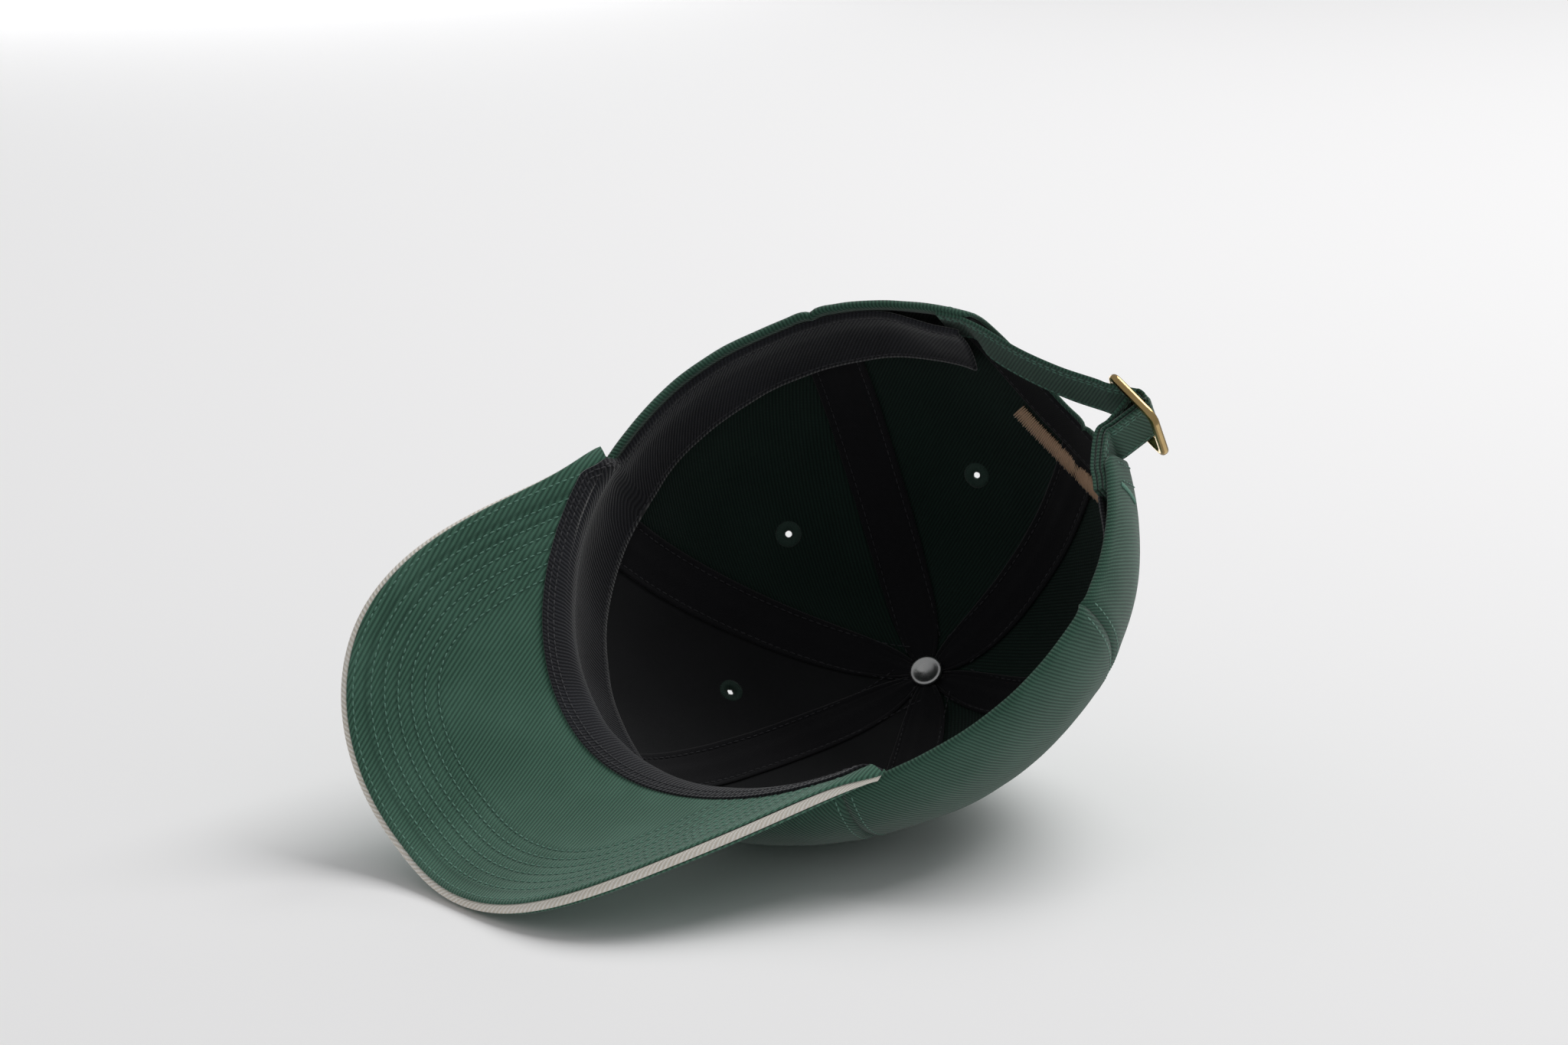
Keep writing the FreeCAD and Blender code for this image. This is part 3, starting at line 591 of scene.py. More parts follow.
def wall_theta(x, height):
    """The angle of the back wall where it is x across at a height."""
    theta = math.pi - 0.3
    for _ in range(6):
        rise = rise_at(theta, height)
        reach = crown_point(theta, rise).x / math.sin(theta)
        theta = math.pi - math.asin(min(abs(x) / reach, 0.999))
    return theta if x >= 0 else -theta


def arch_outline(share):
    """Along half the edge, from the rim to the middle of the arch: point and direction away."""
    if share < CORNER_SHARE:
        turned = share / CORNER_SHARE * math.pi / 2
        x = ARCH_WIDE + CORNER - CORNER * math.sin(turned)
        z = CORNER - CORNER * math.cos(turned)
        return x, z, math.sin(turned), math.cos(turned)
    start = math.asin(CORNER / ARCH_TALL)
    angle = start + (share - CORNER_SHARE) / (1 - CORNER_SHARE) * (math.pi / 2 - start)
    x, z = ARCH_WIDE * math.cos(angle), ARCH_TALL * math.sin(angle)
    away = Vector((x / ARCH_WIDE**2, z / ARCH_TALL**2)).normalized()
    return x, z, away.x, away.y


print("arch foot at theta", round(math.degrees(wall_theta(ARCH_WIDE, 0.0)), 1), "degrees")

# %% [markdown]
# ## Crown panels
# A panel is cut with a hem that turns in at the rim. From the inside out, a column of the
# grid runs down the hem, round the fold and up the outside. The cloth dips into the seam
# on both sides, which is what makes the seam read as a valley between two rows of
# stitching. Modelling the hem with the panel was chosen over a separate roll, because the
# cloth is one piece there.

# %% The hem and the seams
# Each place on the hem: how far from the fold, and how deep in the wall.
HEM = (
    (7.0, 2.75), (5.0, 2.8), (3.0, 2.85), (1.5, 2.75), (0.5, 2.3),
    (0.0, 1.4), (0.4, 0.5), (1.2, 0.08), (2.4, 0.0),
)
ARCH_HEM = 0.52
ARCH_COLUMNS = 0.42
SEAM_DIP = 0.75
HALF_PANEL = 30


def seam_dip(theta, rise, low, high):
    """How far the cloth sinks near the panel's two seams."""
    radius = crown_radius(theta, rise)
    gap = min(theta - low, high - theta) * radius
    return SEAM_DIP * math.exp(-((gap / 1.2) ** 2)) - 0.25 * math.exp(-(((gap - 4.5) / 2.5) ** 2))


def column_foot(share, side, low, high, arched):
    """A column's hem places as (theta, height) pairs, its hem's size and its theta on top."""
    if not arched:
        theta = low + (high - low) * share
        return [(theta, e) for e, _ in HEM], 1.0, theta
    away_from_seam = share if side > 0 else 1 - share
    corner_theta = wall_theta(ARCH_WIDE + CORNER, 0.0)
    outer = math.radians(120)
    top = outer + (math.pi - outer) * away_from_seam
    if away_from_seam < ARCH_COLUMNS:
        theta = outer + (corner_theta - outer) * away_from_seam / ARCH_COLUMNS
        return [(side * theta, e) for e, _ in HEM], 1.0, side * top
    along = (away_from_seam - ARCH_COLUMNS) / (1 - ARCH_COLUMNS)
    x, z, dx, dz = arch_outline(along)
    size = 1 + (ARCH_HEM - 1) * ramp(along / CORNER_SHARE)
    places = []
    for e, _ in HEM:
        height = z + e * size * dz
        beside = max(x + e * size * dx, 0.001)
        places.append((side * wall_theta(beside, height), height))
    return places, size, side * top


print("hem", len(HEM), "rows deep,", HEM[0][0], "mm turned in")

# %% [markdown]
# ### Six panels from one function
# A panel's grid has a column for each place along its lower edge. The rear panels' columns
# start on the rim and then climb the arch, so their corners are bent the most. The columns
# of one panel share their sums, which is why each column's foot is worked out once and kept.

# %% Panels
PANEL_THICK = 0.55
PANEL_COLUMNS = 71
BODY_ROWS = 84


def make_panel(name, degrees):
    """One panel with its hem."""
    low, high = math.radians(degrees - HALF_PANEL), math.radians(degrees + HALF_PANEL)
    side = 1 if degrees > 0 else -1
    arched = abs(degrees) == 150
    middle = math.radians(degrees)
    feet = {}

    def place(share, row):
        if share not in feet:
            feet[share] = column_foot(share, side, low, high, arched)
        places, size, top_theta = feet[share]
        if row < len(HEM):
            theta, height = places[row]
            rise, depth = rise_at(theta, height), HEM[row][1] * size
            chart_v = height if depth < 1.0 else -height
        else:
            climb = (row - len(HEM) + 1) / BODY_ROWS
            theta, height = places[-1]
            first = rise_at(theta, height)
            theta = theta + (top_theta - theta) * ramp(climb * 1.4)
            rise = first + (top_rise(top_theta) - first) * climb
            depth = 0.0
            chart_v = None
        depth += seam_dip(theta, rise, low, high)
        point = on_crown(theta, rise, depth)
        along = (crown_point(middle, rise) - crown_point(middle, 0)).length
        sideways = (crown_point(theta, rise) - crown_point(middle, rise)).length
        sideways = math.copysign(sideways, theta - middle)
        return point, (sideways, along if chart_v is None else chart_v)

    bm = punch(laid(spread(0, 1, PANEL_COLUMNS), list(range(len(HEM) + BODY_ROWS)), place))
    cloth = name + "_cloth"
    # The inner face of each panel gets the darker copy of the twill, as painted shade.
    finished(bm, cloth, green_twill, [name], PANEL_THICK, inside=inner_twill_painted_shade)


for panel_name, panel_angle in PANELS.items():
    make_panel(panel_name, panel_angle)

# %% [markdown]
# ## Stitches
# A row of stitches is hundreds of short ellipsoids, each a few dozen faces. One stitch is
# made once and then copied into the row's mesh, so that long rows stay quick to build.

# %% Sewing a row
stitch_mesh = bpy.data.meshes.new("stitch")
pattern = bmesh.new()
bmesh.ops.create_uvsphere(pattern, u_segments=6, v_segments=4, radius=1.0)
pattern.to_mesh(stitch_mesh)
pattern.free()


def stitch_frame(middle, side, out, along):
    """The matrix that puts a stitch at its middle, with its three half sizes."""
    return Matrix.Translation(middle) @ Matrix((side, out, along)).transposed().to_4x4()


def row_frames(line, pitch, length, width, height):
    """A matrix for each stitch along a line of (point, outward) pairs."""
    frames = []
    travelled, due = 0.0, pitch / 2
    for (start, out_a), (stop, out_b) in zip(line, line[1:]):
        step = (stop - start).length
        while step > 0 and travelled + step > due:
            share = (due - travelled) / step
            along = (stop - start).normalized()
            out = out_a.lerp(out_b, share).normalized()
            side = out.cross(along).normalized()
            out = along.cross(side)
            half_sizes = (side * width / 2, out * height / 2, along * length / 2)
            frames.append(stitch_frame(start.lerp(stop, share), *half_sizes))
            due += pitch
        travelled += step
    return frames


def sew(frames):
    """All the stitches of these frames in one bmesh."""
    bm = bmesh.new()
    for _ in frames:
        bm.from_mesh(stitch_mesh)
    bm.verts.ensure_lookup_table()
    each = len(stitch_mesh.vertices)
    for i, shape in enumerate(frames):
        for vert in bm.verts[i * each : (i + 1) * each]:
            vert.co = shape @ vert.co
    bm.normal_update()
    return bm


print("one stitch has", len(stitch_mesh.polygons), "faces")

# %% [markdown]
# ### Topstitching along the seams
# A row runs up each side of every seam, 2.7 mm away, from just above the hem to the button.
# A line up the crown gives its points and which way is out there, and the stitches follow.

# %% Rows beside the seams
OUTER_STITCH = (2.7, 2.1, 0.5, 0.34)  # pitch, length, width and height, in mm
SEAMS = (0, 60, 120, 180, -120, -60)
BESIDE_SEAM = 2.7
HEM_CLEAR = 2.5
UNDER_BUTTON = 0.955
OUTER_LIFT = -0.22  # the stitches' middles stand this far outside the cloth


def crown_line(theta, start, stop, offset, depth, count=120):
    """A line up the crown, offset millimetres beside an angle, at a depth."""
    line = []
    for rise in spread(start, stop, count):
        radius = crown_radius(theta, rise)
        at = theta + offset / max(radius, 6.0)
        normal = crown_normal(at, rise)
        line.append((on_crown(at, rise, depth), normal if depth < 0.5 else -normal))
    return line


top_rows = []
for degrees in SEAMS:
    seam = math.radians(degrees)
    foot = rise_at(seam, ARCH_TALL + HEM_CLEAR if degrees == 180 else HEM_CLEAR)
    for offset in (-BESIDE_SEAM, BESIDE_SEAM):
        line = crown_line(seam, foot, UNDER_BUTTON, offset, OUTER_LIFT)
        top_rows += row_frames(line, *OUTER_STITCH)
finished(sew(top_rows), "crown_topstitching", green_thread)

# %% [markdown]
# ## Layers inside the crown
# The two front panels are lined with stiff black backing, and every seam is covered by a
# tape. All of them follow the crown at their own depth, so they keep their order where the
# wall bends.

# %% Backing
BACKING_DEPTH = 1.6
BACKING_HALF = 29.6
BACKING_THICK = 0.6
LAYER_FOOT = 1.5
CLIMB = 150  # the crown's height along the cloth, for the charts


def make_backing(name, degrees):
    """Backing behind one front panel."""
    low, high = math.radians(degrees - BACKING_HALF), math.radians(degrees + BACKING_HALF)
    middle = math.radians(degrees)

    def place(theta, climb):
        first = rise_at(theta, LAYER_FOOT)
        rise = first + (top_rise(theta, 5.0) - first) * climb
        sideways = (theta - middle) * 80 * (1 - rise * 0.6)
        return on_crown(theta, rise, BACKING_DEPTH), (sideways, rise * CLIMB)

    bm = punch(laid(spread(low, high, 57), spread(0, 1, 76), place))
    finished(bm, name + "_cloth", black_backing, [name], BACKING_THICK)


make_backing("front_backing_left", 30)
make_backing("front_backing_right", -30)

# %% [markdown]
# ### Seam tapes
# A tape is 19 mm wide and folded under at both edges, so it is thickest there and sinks
# where its stitch rows pull it down. Near the button the tapes would overlap, so each one
# covers a limited angle.

# %% Tapes
TAPE_HALF = 9.5
TAPE_ROW = 7.2
TAPE_THICK = 0.5
TAPE_WIDEST = math.radians(28)
INNER_STITCH = (2.7, 2.0, 0.42, 0.3)


def bulge(off, width):
    """A soft hump, 1 high, that fades over a width."""
    return math.exp(-((off / width) ** 2))


def tape_spread(theta, rise):
    """Half the angle that a tape covers."""
    radius = crown_radius(theta, rise)
    return TAPE_WIDEST * math.tanh(TAPE_HALF / max(radius, 1.0) / TAPE_WIDEST)


def make_tape(name, degrees, depth):
    """A seam tape, raised over the seam and folded at its edges."""
    seam = math.radians(degrees)
    start = rise_at(seam, ARCH_TALL + LAYER_FOOT if degrees == 180 else LAYER_FOOT)

    def place(share, climb):
        rise = start + (top_rise(seam, 4.6) - start) * climb
        theta = seam + share * tape_spread(seam, rise)
        fold = 0.3 * bulge(abs(share) - 0.93, 0.07)
        groove = 0.3 * bulge(abs(share) - 0.76, 0.07)
        lift = 0.55 * bulge(share, 0.3) + fold - groove
        return on_crown(theta, rise, depth + lift), (share * TAPE_HALF, rise * CLIMB)

    bm = laid(spread(-1, 1, 29), spread(0, 1, 90), place)
    finished(bm, name + "_cloth", black_tape, [name], TAPE_THICK)
    frames = []
    for offset in (-TAPE_ROW, TAPE_ROW):
        line = crown_line(seam, start + 0.02, 0.93, offset, depth + 0.62)
        frames += row_frames(line, *INNER_STITCH)
    return frames


tape_stitches = []
for tape_name, seam_degrees, tape_depth in (
    ("front_side_tape_left", 60, 2.4), ("front_side_tape_right", -60, 2.4),
    ("side_rear_tape_left", 120, 1.0), ("side_rear_tape_right", -120, 1.0),
    ("front_centre_tape", 0, 2.4), ("rear_centre_tape", 180, 1.0),
):
    tape_stitches += make_tape(tape_name, seam_degrees, tape_depth)
finished(sew(tape_stitches), "tape_stitching", black_thread)

# %% [markdown]
# ## Arch facing
# A black facing is bound round the arch, a little back from the green edge, and sewn down
# along both its edges. Two more rows show outside, in green. All four rows run round the
# arch a fixed distance from its edge, so one function draws them.

# %% Facing
FACING_DEPTH = 1.7
FACING_START = 1.4
FACING_WIDE = 15.0


def back_point(angle, out, depth):
    """A point out millimetres beyond the arch's edge, at an angle round it."""
    x = (ARCH_WIDE + out) * math.cos(angle)
    z = (ARCH_TALL + out) * math.sin(angle)
    theta = wall_theta(x, z)
    return on_crown(theta, rise_at(theta, z), depth)


def place_facing(angle, out):
    """A place on the facing, which is turned under at both edges."""
    edge = min(out - FACING_START, FACING_WIDE - out)
    depth = FACING_DEPTH - 0.35 * max(1 - edge / 0.9, 0.0) ** 2
    return back_point(angle, out, depth), (angle * 46, out)


facing_angles = spread(math.radians(4), math.radians(176), 91)
facing_outs = [FACING_START, 1.7, 2.2] + spread(3.2, 13.6, 9) + [14.2, 14.7, FACING_WIDE]
facing = laid(facing_angles, facing_outs, place_facing)
finished(facing, "arch_facing_cloth", black_tape, ["arch_facing"], TAPE_THICK)


def arch_rows(outs, from_degrees, depth, eye_depth, stitch):
    """Rows round the arch at a depth, their stitches standing away from eye_depth."""
    frames = []
    for out in outs:
        line = []
        for angle in spread(math.radians(from_degrees), math.radians(180 - from_degrees), 200):
            point = back_point(angle, out, depth)
            away = point - back_point(angle, out, eye_depth)
            line.append((point, (away if depth < 0 else -away).normalized()))
        frames += row_frames(line, *stitch)
    return frames


inside_rows = arch_rows((2.6, 13.6), 6, FACING_DEPTH + 0.5, 3.0, INNER_STITCH)
finished(sew(inside_rows), "arch_facing_stitching", black_thread)
outside_rows = arch_rows((2.6, 8.5), 7, -0.2, 2.0, OUTER_STITCH)
finished(sew(outside_rows), "arch_topstitching", green_thread)

# %% [markdown]
# ### The bar above the arch
# The real cap has an embroidered mark here. A plain bar of satin stitches takes its place:
# 78 strands side by side, each one long thin stitch, as satin stitch really is.

# %% Satin bar
BAR_START = 17.0
BAR_WIDTH = 7.0
BAR_HALF = 27.0
BAR_DEPTH = 1.55
STRANDS = 78
LOOSENESS = 0.25  # the strands' ends are not quite level
satin = []
limit = math.acos(BAR_HALF / (ARCH_WIDE + BAR_START))
for i, angle in enumerate(spread(limit, math.pi - limit, STRANDS)):
    loose = LOOSENESS * math.sin(i * 2.399)
    low = back_point(angle, BAR_START + loose, BAR_DEPTH)
    high = back_point(angle, BAR_START + BAR_WIDTH + loose, BAR_DEPTH)
    inner, outer = (back_point(angle, BAR_START + BAR_WIDTH / 2, depth) for depth in (3.0, 1.0))
    inward = (inner - outer).normalized()
    along = high - low
    side = inward.cross(along.normalized()).normalized()
    satin.append(stitch_frame((low + high) / 2, side * 0.44, inward * 0.8, along / 2))
finished(sew(satin), "satin_bar", beige_thread, ["stitched_bar"])

# %% [markdown]
# ## Brim
# The brim is a bent board between two cloth covers, with a cream edge piped between them.
# Its outline is an oval stretched forwards, and it droops at the sides. The covers are sewn
# to the board in rows that follow the edge, and the cloth swells a little between the rows.

# %% The brim's outline
BRIM_START = 36.4
BRIM_TIP = 169.0
BRIM_HALF = 81.3
BRIM_SLOPE = 0.434
BRIM_ARCH = 56.3
BRIM_STACK = 4.8
BRIM_END = math.acos(BRIM_START / HALF_LENGTH)


def brim_edge(share):
    """The outer edge, share from -1 to 1 across the brim."""
    turned = math.sin(share * math.pi / 2) * math.pi / 2
    x = BRIM_HALF * math.copysign(abs(math.sin(turned)) ** 0.83, turned)
    reach = (BRIM_TIP - BRIM_START) * abs(math.cos(turned)) ** 0.567
    z = BRIM_ARCH * (1 - (x / BRIM_HALF) ** 2) + BRIM_STACK / 2 - math.tan(BRIM_SLOPE) * reach
    return Vector((x, -BRIM_START - reach, z))


def brim_root(share):
    """The place on the rim that the brim leaves, at the same share."""
    return rim_point(math.sin(share * math.pi / 2) * BRIM_END)


def brim_point(share, inset):
    """The top surface, inset millimetres from the edge towards the crown."""
    edge = brim_edge(share)
    return edge + (brim_root(share) - edge).normalized() * inset


def brim_width(share):
    """From the brim's edge to the crown."""
    return (brim_root(share) - brim_edge(share)).length


def brim_normal(share, inset):
    """Upward direction of the brim."""
    side = brim_point(share + 0.004, inset) - brim_point(share - 0.004, inset)
    back = brim_point(share, inset + 0.5) - brim_point(share, inset - 0.5)
    return side.cross(back).normalized()


def brim_layer(share, inset, depth):
    """A point of a brim layer, with the same slight wave in every layer."""
    wave = noise.noise(Vector((share * 3.0, inset / 45.0, 2.0))) * 0.7
    return brim_point(share, inset) - brim_normal(share, inset) * (depth + wave)


print("brim", round(brim_width(0.0), 1), "mm deep in the middle")

# %% [markdown]
# ### Rows that follow the edge
# The rows keep their distance from the brim's edge, so that distance has to be measured at
# any place. A tree of points along the edge finds the nearest one quickly.

# %% Distance from the brim's edge
ROW_FIRST = 8.0
ROW_PITCH = 4.5
ROW_COUNT = 6
edge_places = [brim_edge(share) for share in spread(-1, 1, 1601)]
edge_tree = KDTree(len(edge_places))
for number, edge_place in enumerate(edge_places):
    edge_tree.insert(edge_place, number)
edge_tree.balance()


def from_edge(share, inset):
    """Distance to the nearest place on the brim's edge."""
    return edge_tree.find(brim_point(share, inset))[2]


def swell(distance):
    """The cloth between rows of stitches stands proud of the rows."""
    last = ROW_FIRST + ROW_PITCH * (ROW_COUNT - 1)
    if distance < ROW_FIRST - ROW_PITCH / 2 or distance > last + ROW_PITCH / 2:
        return 0.5
    return 0.5 - 0.5 * math.cos((distance - ROW_FIRST) / ROW_PITCH * math.tau)


def inset_at(share, distance):
    """The inset at which a row that far from the edge crosses this share, or nothing."""
    low, high = 0.0, brim_width(share)
    if from_edge(share, high) < distance:
        return None
    for _ in range(14):
        middle = (low + high) / 2
        if from_edge(share, middle) < distance:
            low = middle
        else:
            high = middle
    return high


print("rows lie", [ROW_FIRST + ROW_PITCH * k for k in range(ROW_COUNT)], "mm from the edge")

# %% [markdown]
# ### The covers
# Top and bottom are the same cut, laid on both sides of the board. The chart is turned, so
# that the ribs run aslant on the brim. The upper cover is tucked in under the crown, and
# the lower one stops just short of it, where the sweatband covers it. Both covers are a
# lighter copy of the crown's green, as painted light. Each cover also stores how near its
# places are to a row, so that painted shade can darken the cloth along the rows.

# %% Brim covers
BRIM_SHARE = 0.985
BRIM_TUCK = 3.0
UNDER_SHORT = 1.0
COVER_DEPTH = 0.1
COVER_THICK = 0.7
CUT_TURN = math.radians(-126)


def mark_row_shade(cover):
    """Store on the cloth how near each place is to a row of stitches, for the painted shade along
    the rows.
    """
    values = []
    for vert in cover.data.vertices:
        distance = edge_tree.find(vert.co / MM)[2]
        row = min(max(round((distance - ROW_FIRST) / ROW_PITCH), 0), ROW_COUNT - 1)
        off = abs(distance - ROW_FIRST - row * ROW_PITCH)
        values.append(math.exp(-((off / 0.6) ** 2)))
    layer = cover.data.attributes.new("row", "FLOAT", "POINT")
    layer.data.foreach_set("value", values)


def make_cover(name, node, outer, turned):
    """A cover; outer is the depth of its outside, turned is 1 on top and -1 beneath."""

    def place(share, back):
        inset = back * (brim_width(share) + (BRIM_TUCK if turned > 0 else -UNDER_SHORT))
        roll = max(1 - inset / 1.4, 0.0) ** 2 * 0.65
        depth = outer + turned * (roll - 0.25 * swell(from_edge(share, inset)))
        point = brim_layer(share, inset, depth)
        flat = Matrix.Rotation(CUT_TURN, 2) @ point.xy
        return point, tuple(flat)

    shares = spread(-BRIM_SHARE, BRIM_SHARE, 161)
    backs = [0, 0.004, 0.009, 0.016, 0.026] + spread(0.038, 1, 84)
    bm = laid(shares, backs, place)
    if turned < 0:
        bmesh.ops.reverse_faces(bm, faces=bm.faces)
    mark_row_shade(finished(bm, name, brim_twill_painted_light, [node], COVER_THICK))


make_cover("brim_top_cloth", "brim_top_cover", COVER_DEPTH, 1)
make_cover("brim_under_cloth", "brim_under_cover", BRIM_STACK, -1)

# %% [markdown]
# ### The cream edge
# The piping is a strip that wraps the board's edge, so its section is a C. It is laid like
# the covers, but its second direction runs round the C.

# %% Piping
# Round the C: how far in from the edge, and how deep.
EDGE_SECTION = (
    (3.0, 1.0), (1.2, 0.95), (0.1, 0.95), (-0.7, 1.2), (-1.2, 1.75), (-1.4, 2.45),
    (-1.2, 3.15), (-0.7, 3.7), (0.1, 3.95), (1.2, 3.95), (3.0, 3.9),
)


def place_edge(share, station):
    """One place round the C, at a share of the edge."""
    inset, depth = EDGE_SECTION[station]
    return brim_layer(share, inset, depth), (share * 190, station * 0.75)


edge_cloth = laid(spread(-BRIM_SHARE, BRIM_SHARE, 241), list(range(len(EDGE_SECTION))), place_edge)
bmesh.ops.reverse_faces(edge_cloth, faces=edge_cloth.faces)
finished(edge_cloth, "brim_edge_cloth", cream_twill, ["brim_contrast_edge"], 0.4)

# %% [markdown]
# ### Stitches on the brim
# One row holds the edge, and six more quilt the board. Each row is found by searching, at
# many shares, for the place that is the right distance from the edge. Near the brim's ends
# there is no such place, and the row stops. The board inside only needs its own finish.

# %% Rows on the brim
BRIM_STITCH = (2.7, 1.9, 0.6, 0.5)
EDGE_ROW = 2.0


def brim_rows(depth, turned):
    """Stitch rows on one side of the brim."""
    frames = []
    distances = [EDGE_ROW] + [ROW_FIRST + ROW_PITCH * k for k in range(ROW_COUNT)]
    for distance in distances:
        line = []
        for share in spread(-BRIM_SHARE, BRIM_SHARE, 281):
            inset = inset_at(share, distance)
            if inset is not None and inset < brim_width(share) - 1.5:
                normal = brim_normal(share, inset) * turned
                line.append((brim_layer(share, inset, depth) + normal * 0.12, normal))
        frames += row_frames(line, *BRIM_STITCH)
    return frames


quilting = sew(brim_rows(COVER_DEPTH, 1) + brim_rows(BRIM_STACK, -1))
finished(quilting, "brim_stitching", green_thread)
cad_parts["brim_board"].data.materials[0] = board

# %% [markdown]
# ## Sweatband
# The sweatband is a turned strip of black twill. It is sewn just above the hem and stands
# along the wall, further in at the back, where the straps end behind it. At the front its
# fold laps over the root of the brim, so the band is made after the brim, and the lap lies
# on the brim's own underside.

# %% Where the band lies
BAND_DEPTH = 4.0
BAND_TOP = 34.5
HEM_SHOWN = 4.2
LOOP_STACK = 3.6
LAP = 7.0
LEAST_LAP = 3.0
LAP_CLEARANCE = 0.35
HELD_ANGLE = 0.95 * BRIM_END


def band_depth(theta):
    """The band steps inwards over the ends of the straps."""
    start, finish = math.radians(132), math.radians(148)
    return BAND_DEPTH + LOOP_STACK * ramp((abs(theta) - start) / (finish - start))


def over_brim(theta):
    """1 where the band laps over the brim, fading to 0 just past the brim's end."""
    return ramp((BRIM_END + 0.045 - abs(theta)) / 0.09)


def brim_underside(theta, out):
    """A point on the brim's underside, out millimetres from its root and square to it."""
    held = min(max(theta, -HELD_ANGLE), HELD_ANGLE)
    share = math.asin(held / BRIM_END) * 2 / math.pi
    along = rim_point(held + STEP) - rim_point(held - STEP)
    upward = along.cross(brim_edge(share) - brim_root(share)).normalized()
    upward *= math.copysign(1.0, upward.z)
    ahead = rim_point(theta + STEP) - rim_point(theta - STEP)
    level = Vector((ahead.y, -ahead.x, 0)).normalized()
    fall = -(upward.x * along.y - upward.y * along.x) / (upward.z * along.xy.length)
    down_slope = (level + Vector((0, 0, fall))).normalized()
    square = (Vector((0, 0, 1)) - level * fall).normalized()
    depth = (BRIM_STACK + LAP_CLEARANCE) * over_brim(theta)
    return rim_point(theta) + down_slope * out - square * depth


def band_foot(theta):
    """Where the band turns up: above the rim, or below it over the brim."""
    return HEM_SHOWN - (BRIM_STACK + HEM_SHOWN) * over_brim(theta)


def band_lap(theta):
    """How far the fold lies out on the brim, hardly past the brim's edge at its ends."""
    room = edge_tree.find(rim_point(theta))[2]
    return over_brim(theta) * min(LAP, max(room, LEAST_LAP))


print("lap in front", round(band_lap(0.0), 1), "mm, at the side", round(band_lap(1.6), 1), "mm")

# %% [markdown]
# ### The band's own shape
# A point of the band is found by its distance from the fold, measured along the cloth:
# first over the brim, then up the wall. The upper edge is free, so it waves a little, and
# the cloth puffs where it is turned.


# %% Points of the band
def band_point(theta, up):
    """A point of the band, up millimetres along it from its fold."""
    lap = band_lap(theta)
    above = max(up - lap, 0.0)
    height = band_foot(theta) + above
    fold = max(1 - above / 1.6, 0.0) ** 2
    free = ramp((above - 14) / 16)
    wave = noise.noise(Vector((theta * 4.5, above / 30, 5.0))) * 1.3 * free
    puff = 0.2 * math.sin(min(above, 11.0) / 11.0 * math.pi)
    point = on_crown(theta, rise_at(theta, height), band_depth(theta) - fold + wave + puff)
    point += Vector((0, 0, min(height, 0.0)))
    return point.lerp(brim_underside(theta, lap - up), ramp((lap - up) / 3.2))


def band_width(theta):
    """From the band's fold to its free edge."""
    return band_lap(theta) + BAND_TOP - band_foot(theta)


def place_band(theta, share):
    """share runs from 0 at the fold to 1 at the free edge."""
    up = share * band_width(theta)
    return band_point(theta, up), (theta * 88, up)


def band_inward(theta, up):
    """The direction from the band towards the head."""
    around = band_point(theta + STEP, up) - band_point(theta - STEP, up)
    upward = band_point(theta, up + 0.05) - band_point(theta, up - 0.05)
    return upward.cross(around).normalized()


print("band", round(band_width(0.0), 1), "mm wide in front,", round(band_width(2.0), 1), "behind")

# %% [markdown]
# ### The band and its rows
# The band is one grid from one side of the arch to the other, with more rows of faces at
# the fold, where it bends most. Two stitch rows hold the fold and one runs along the top.

# %% Sweatband
BAND_STITCH = (2.4, 2.1, 0.55, 0.4)
BAND_THICK = 0.9
band_end = math.pi - math.asin((ARCH_WIDE + 2.0) / HALF_WIDTH)
band_shares = [0, 0.008, 0.022, 0.04] + spread(0.06, 0.35, 18) + spread(0.38, 1, 17)
band = laid(spread(-band_end, band_end, 281), band_shares, place_band)
finished(band, "sweatband_cloth", black_twill, ["sweatband"], BAND_THICK)

band_rows = []
for from_fold, from_top in ((1.6, 0), (3.6, 0), (0, 2.0)):
    line = []
    for theta in spread(-band_end + 0.02, band_end - 0.02, 400):
        up = from_fold or band_width(theta) - from_top
        inward = band_inward(theta, up)
        line.append((band_point(theta, up) + inward * (BAND_THICK + 0.08), inward))
    band_rows += row_frames(line, *BAND_STITCH)
finished(sew(band_rows), "sweatband_stitching", black_thread)

# %% [markdown]
# ## Eyelets
# An eyelet is a ring of satin stitch: threads run from the hole to the outside, round the
# cloth. A ring with a finely fluted surface shows the same, with few faces. The grid is
# bent round twice, into a ring, and its edges are merged.


# %% Fluted rings
LINED = 2.2
UNLINED = 0.9
FLUTES = 40


def make_eyelet(name, theta, layers):
    """A sewn ring through the cloth; layers is how thick the cloth is there."""
    point = on_crown(theta, EYELET_RISE, layers / 2)
    normal = crown_normal(theta, EYELET_RISE)
    side = normal.cross(Vector((0, 0, 1))).normalized()
    up = normal.cross(side)
    middle = (EYELET_RADIUS + EYELET_HOLE) / 2
    half = (EYELET_RADIUS - EYELET_HOLE) / 2 + 0.1

    def place(round_hole, round_section):
        flute = 1 + 0.09 * math.cos(round_hole * FLUTES)
        radius = middle + half * flute * math.cos(round_section)
        lift = (layers / 2 + 0.55) * flute * math.sin(round_section)
        spot = side * math.cos(round_hole) + up * math.sin(round_hole)
        return point + spot * radius + normal * lift, (round_hole * middle, round_section * half)

    ring = closed(laid(spread(0, math.tau, 161), spread(0, math.tau, 13), place))
    # The ring takes the darker thread, as painted shade.
    finished(ring, name + "_ring", eyelet_thread_painted_shade, [name])


for eyelet_name, eyelet_theta in eyelet_angles.items():
    make_eyelet(eyelet_name, eyelet_theta, LINED if "front" in eyelet_name else UNLINED)

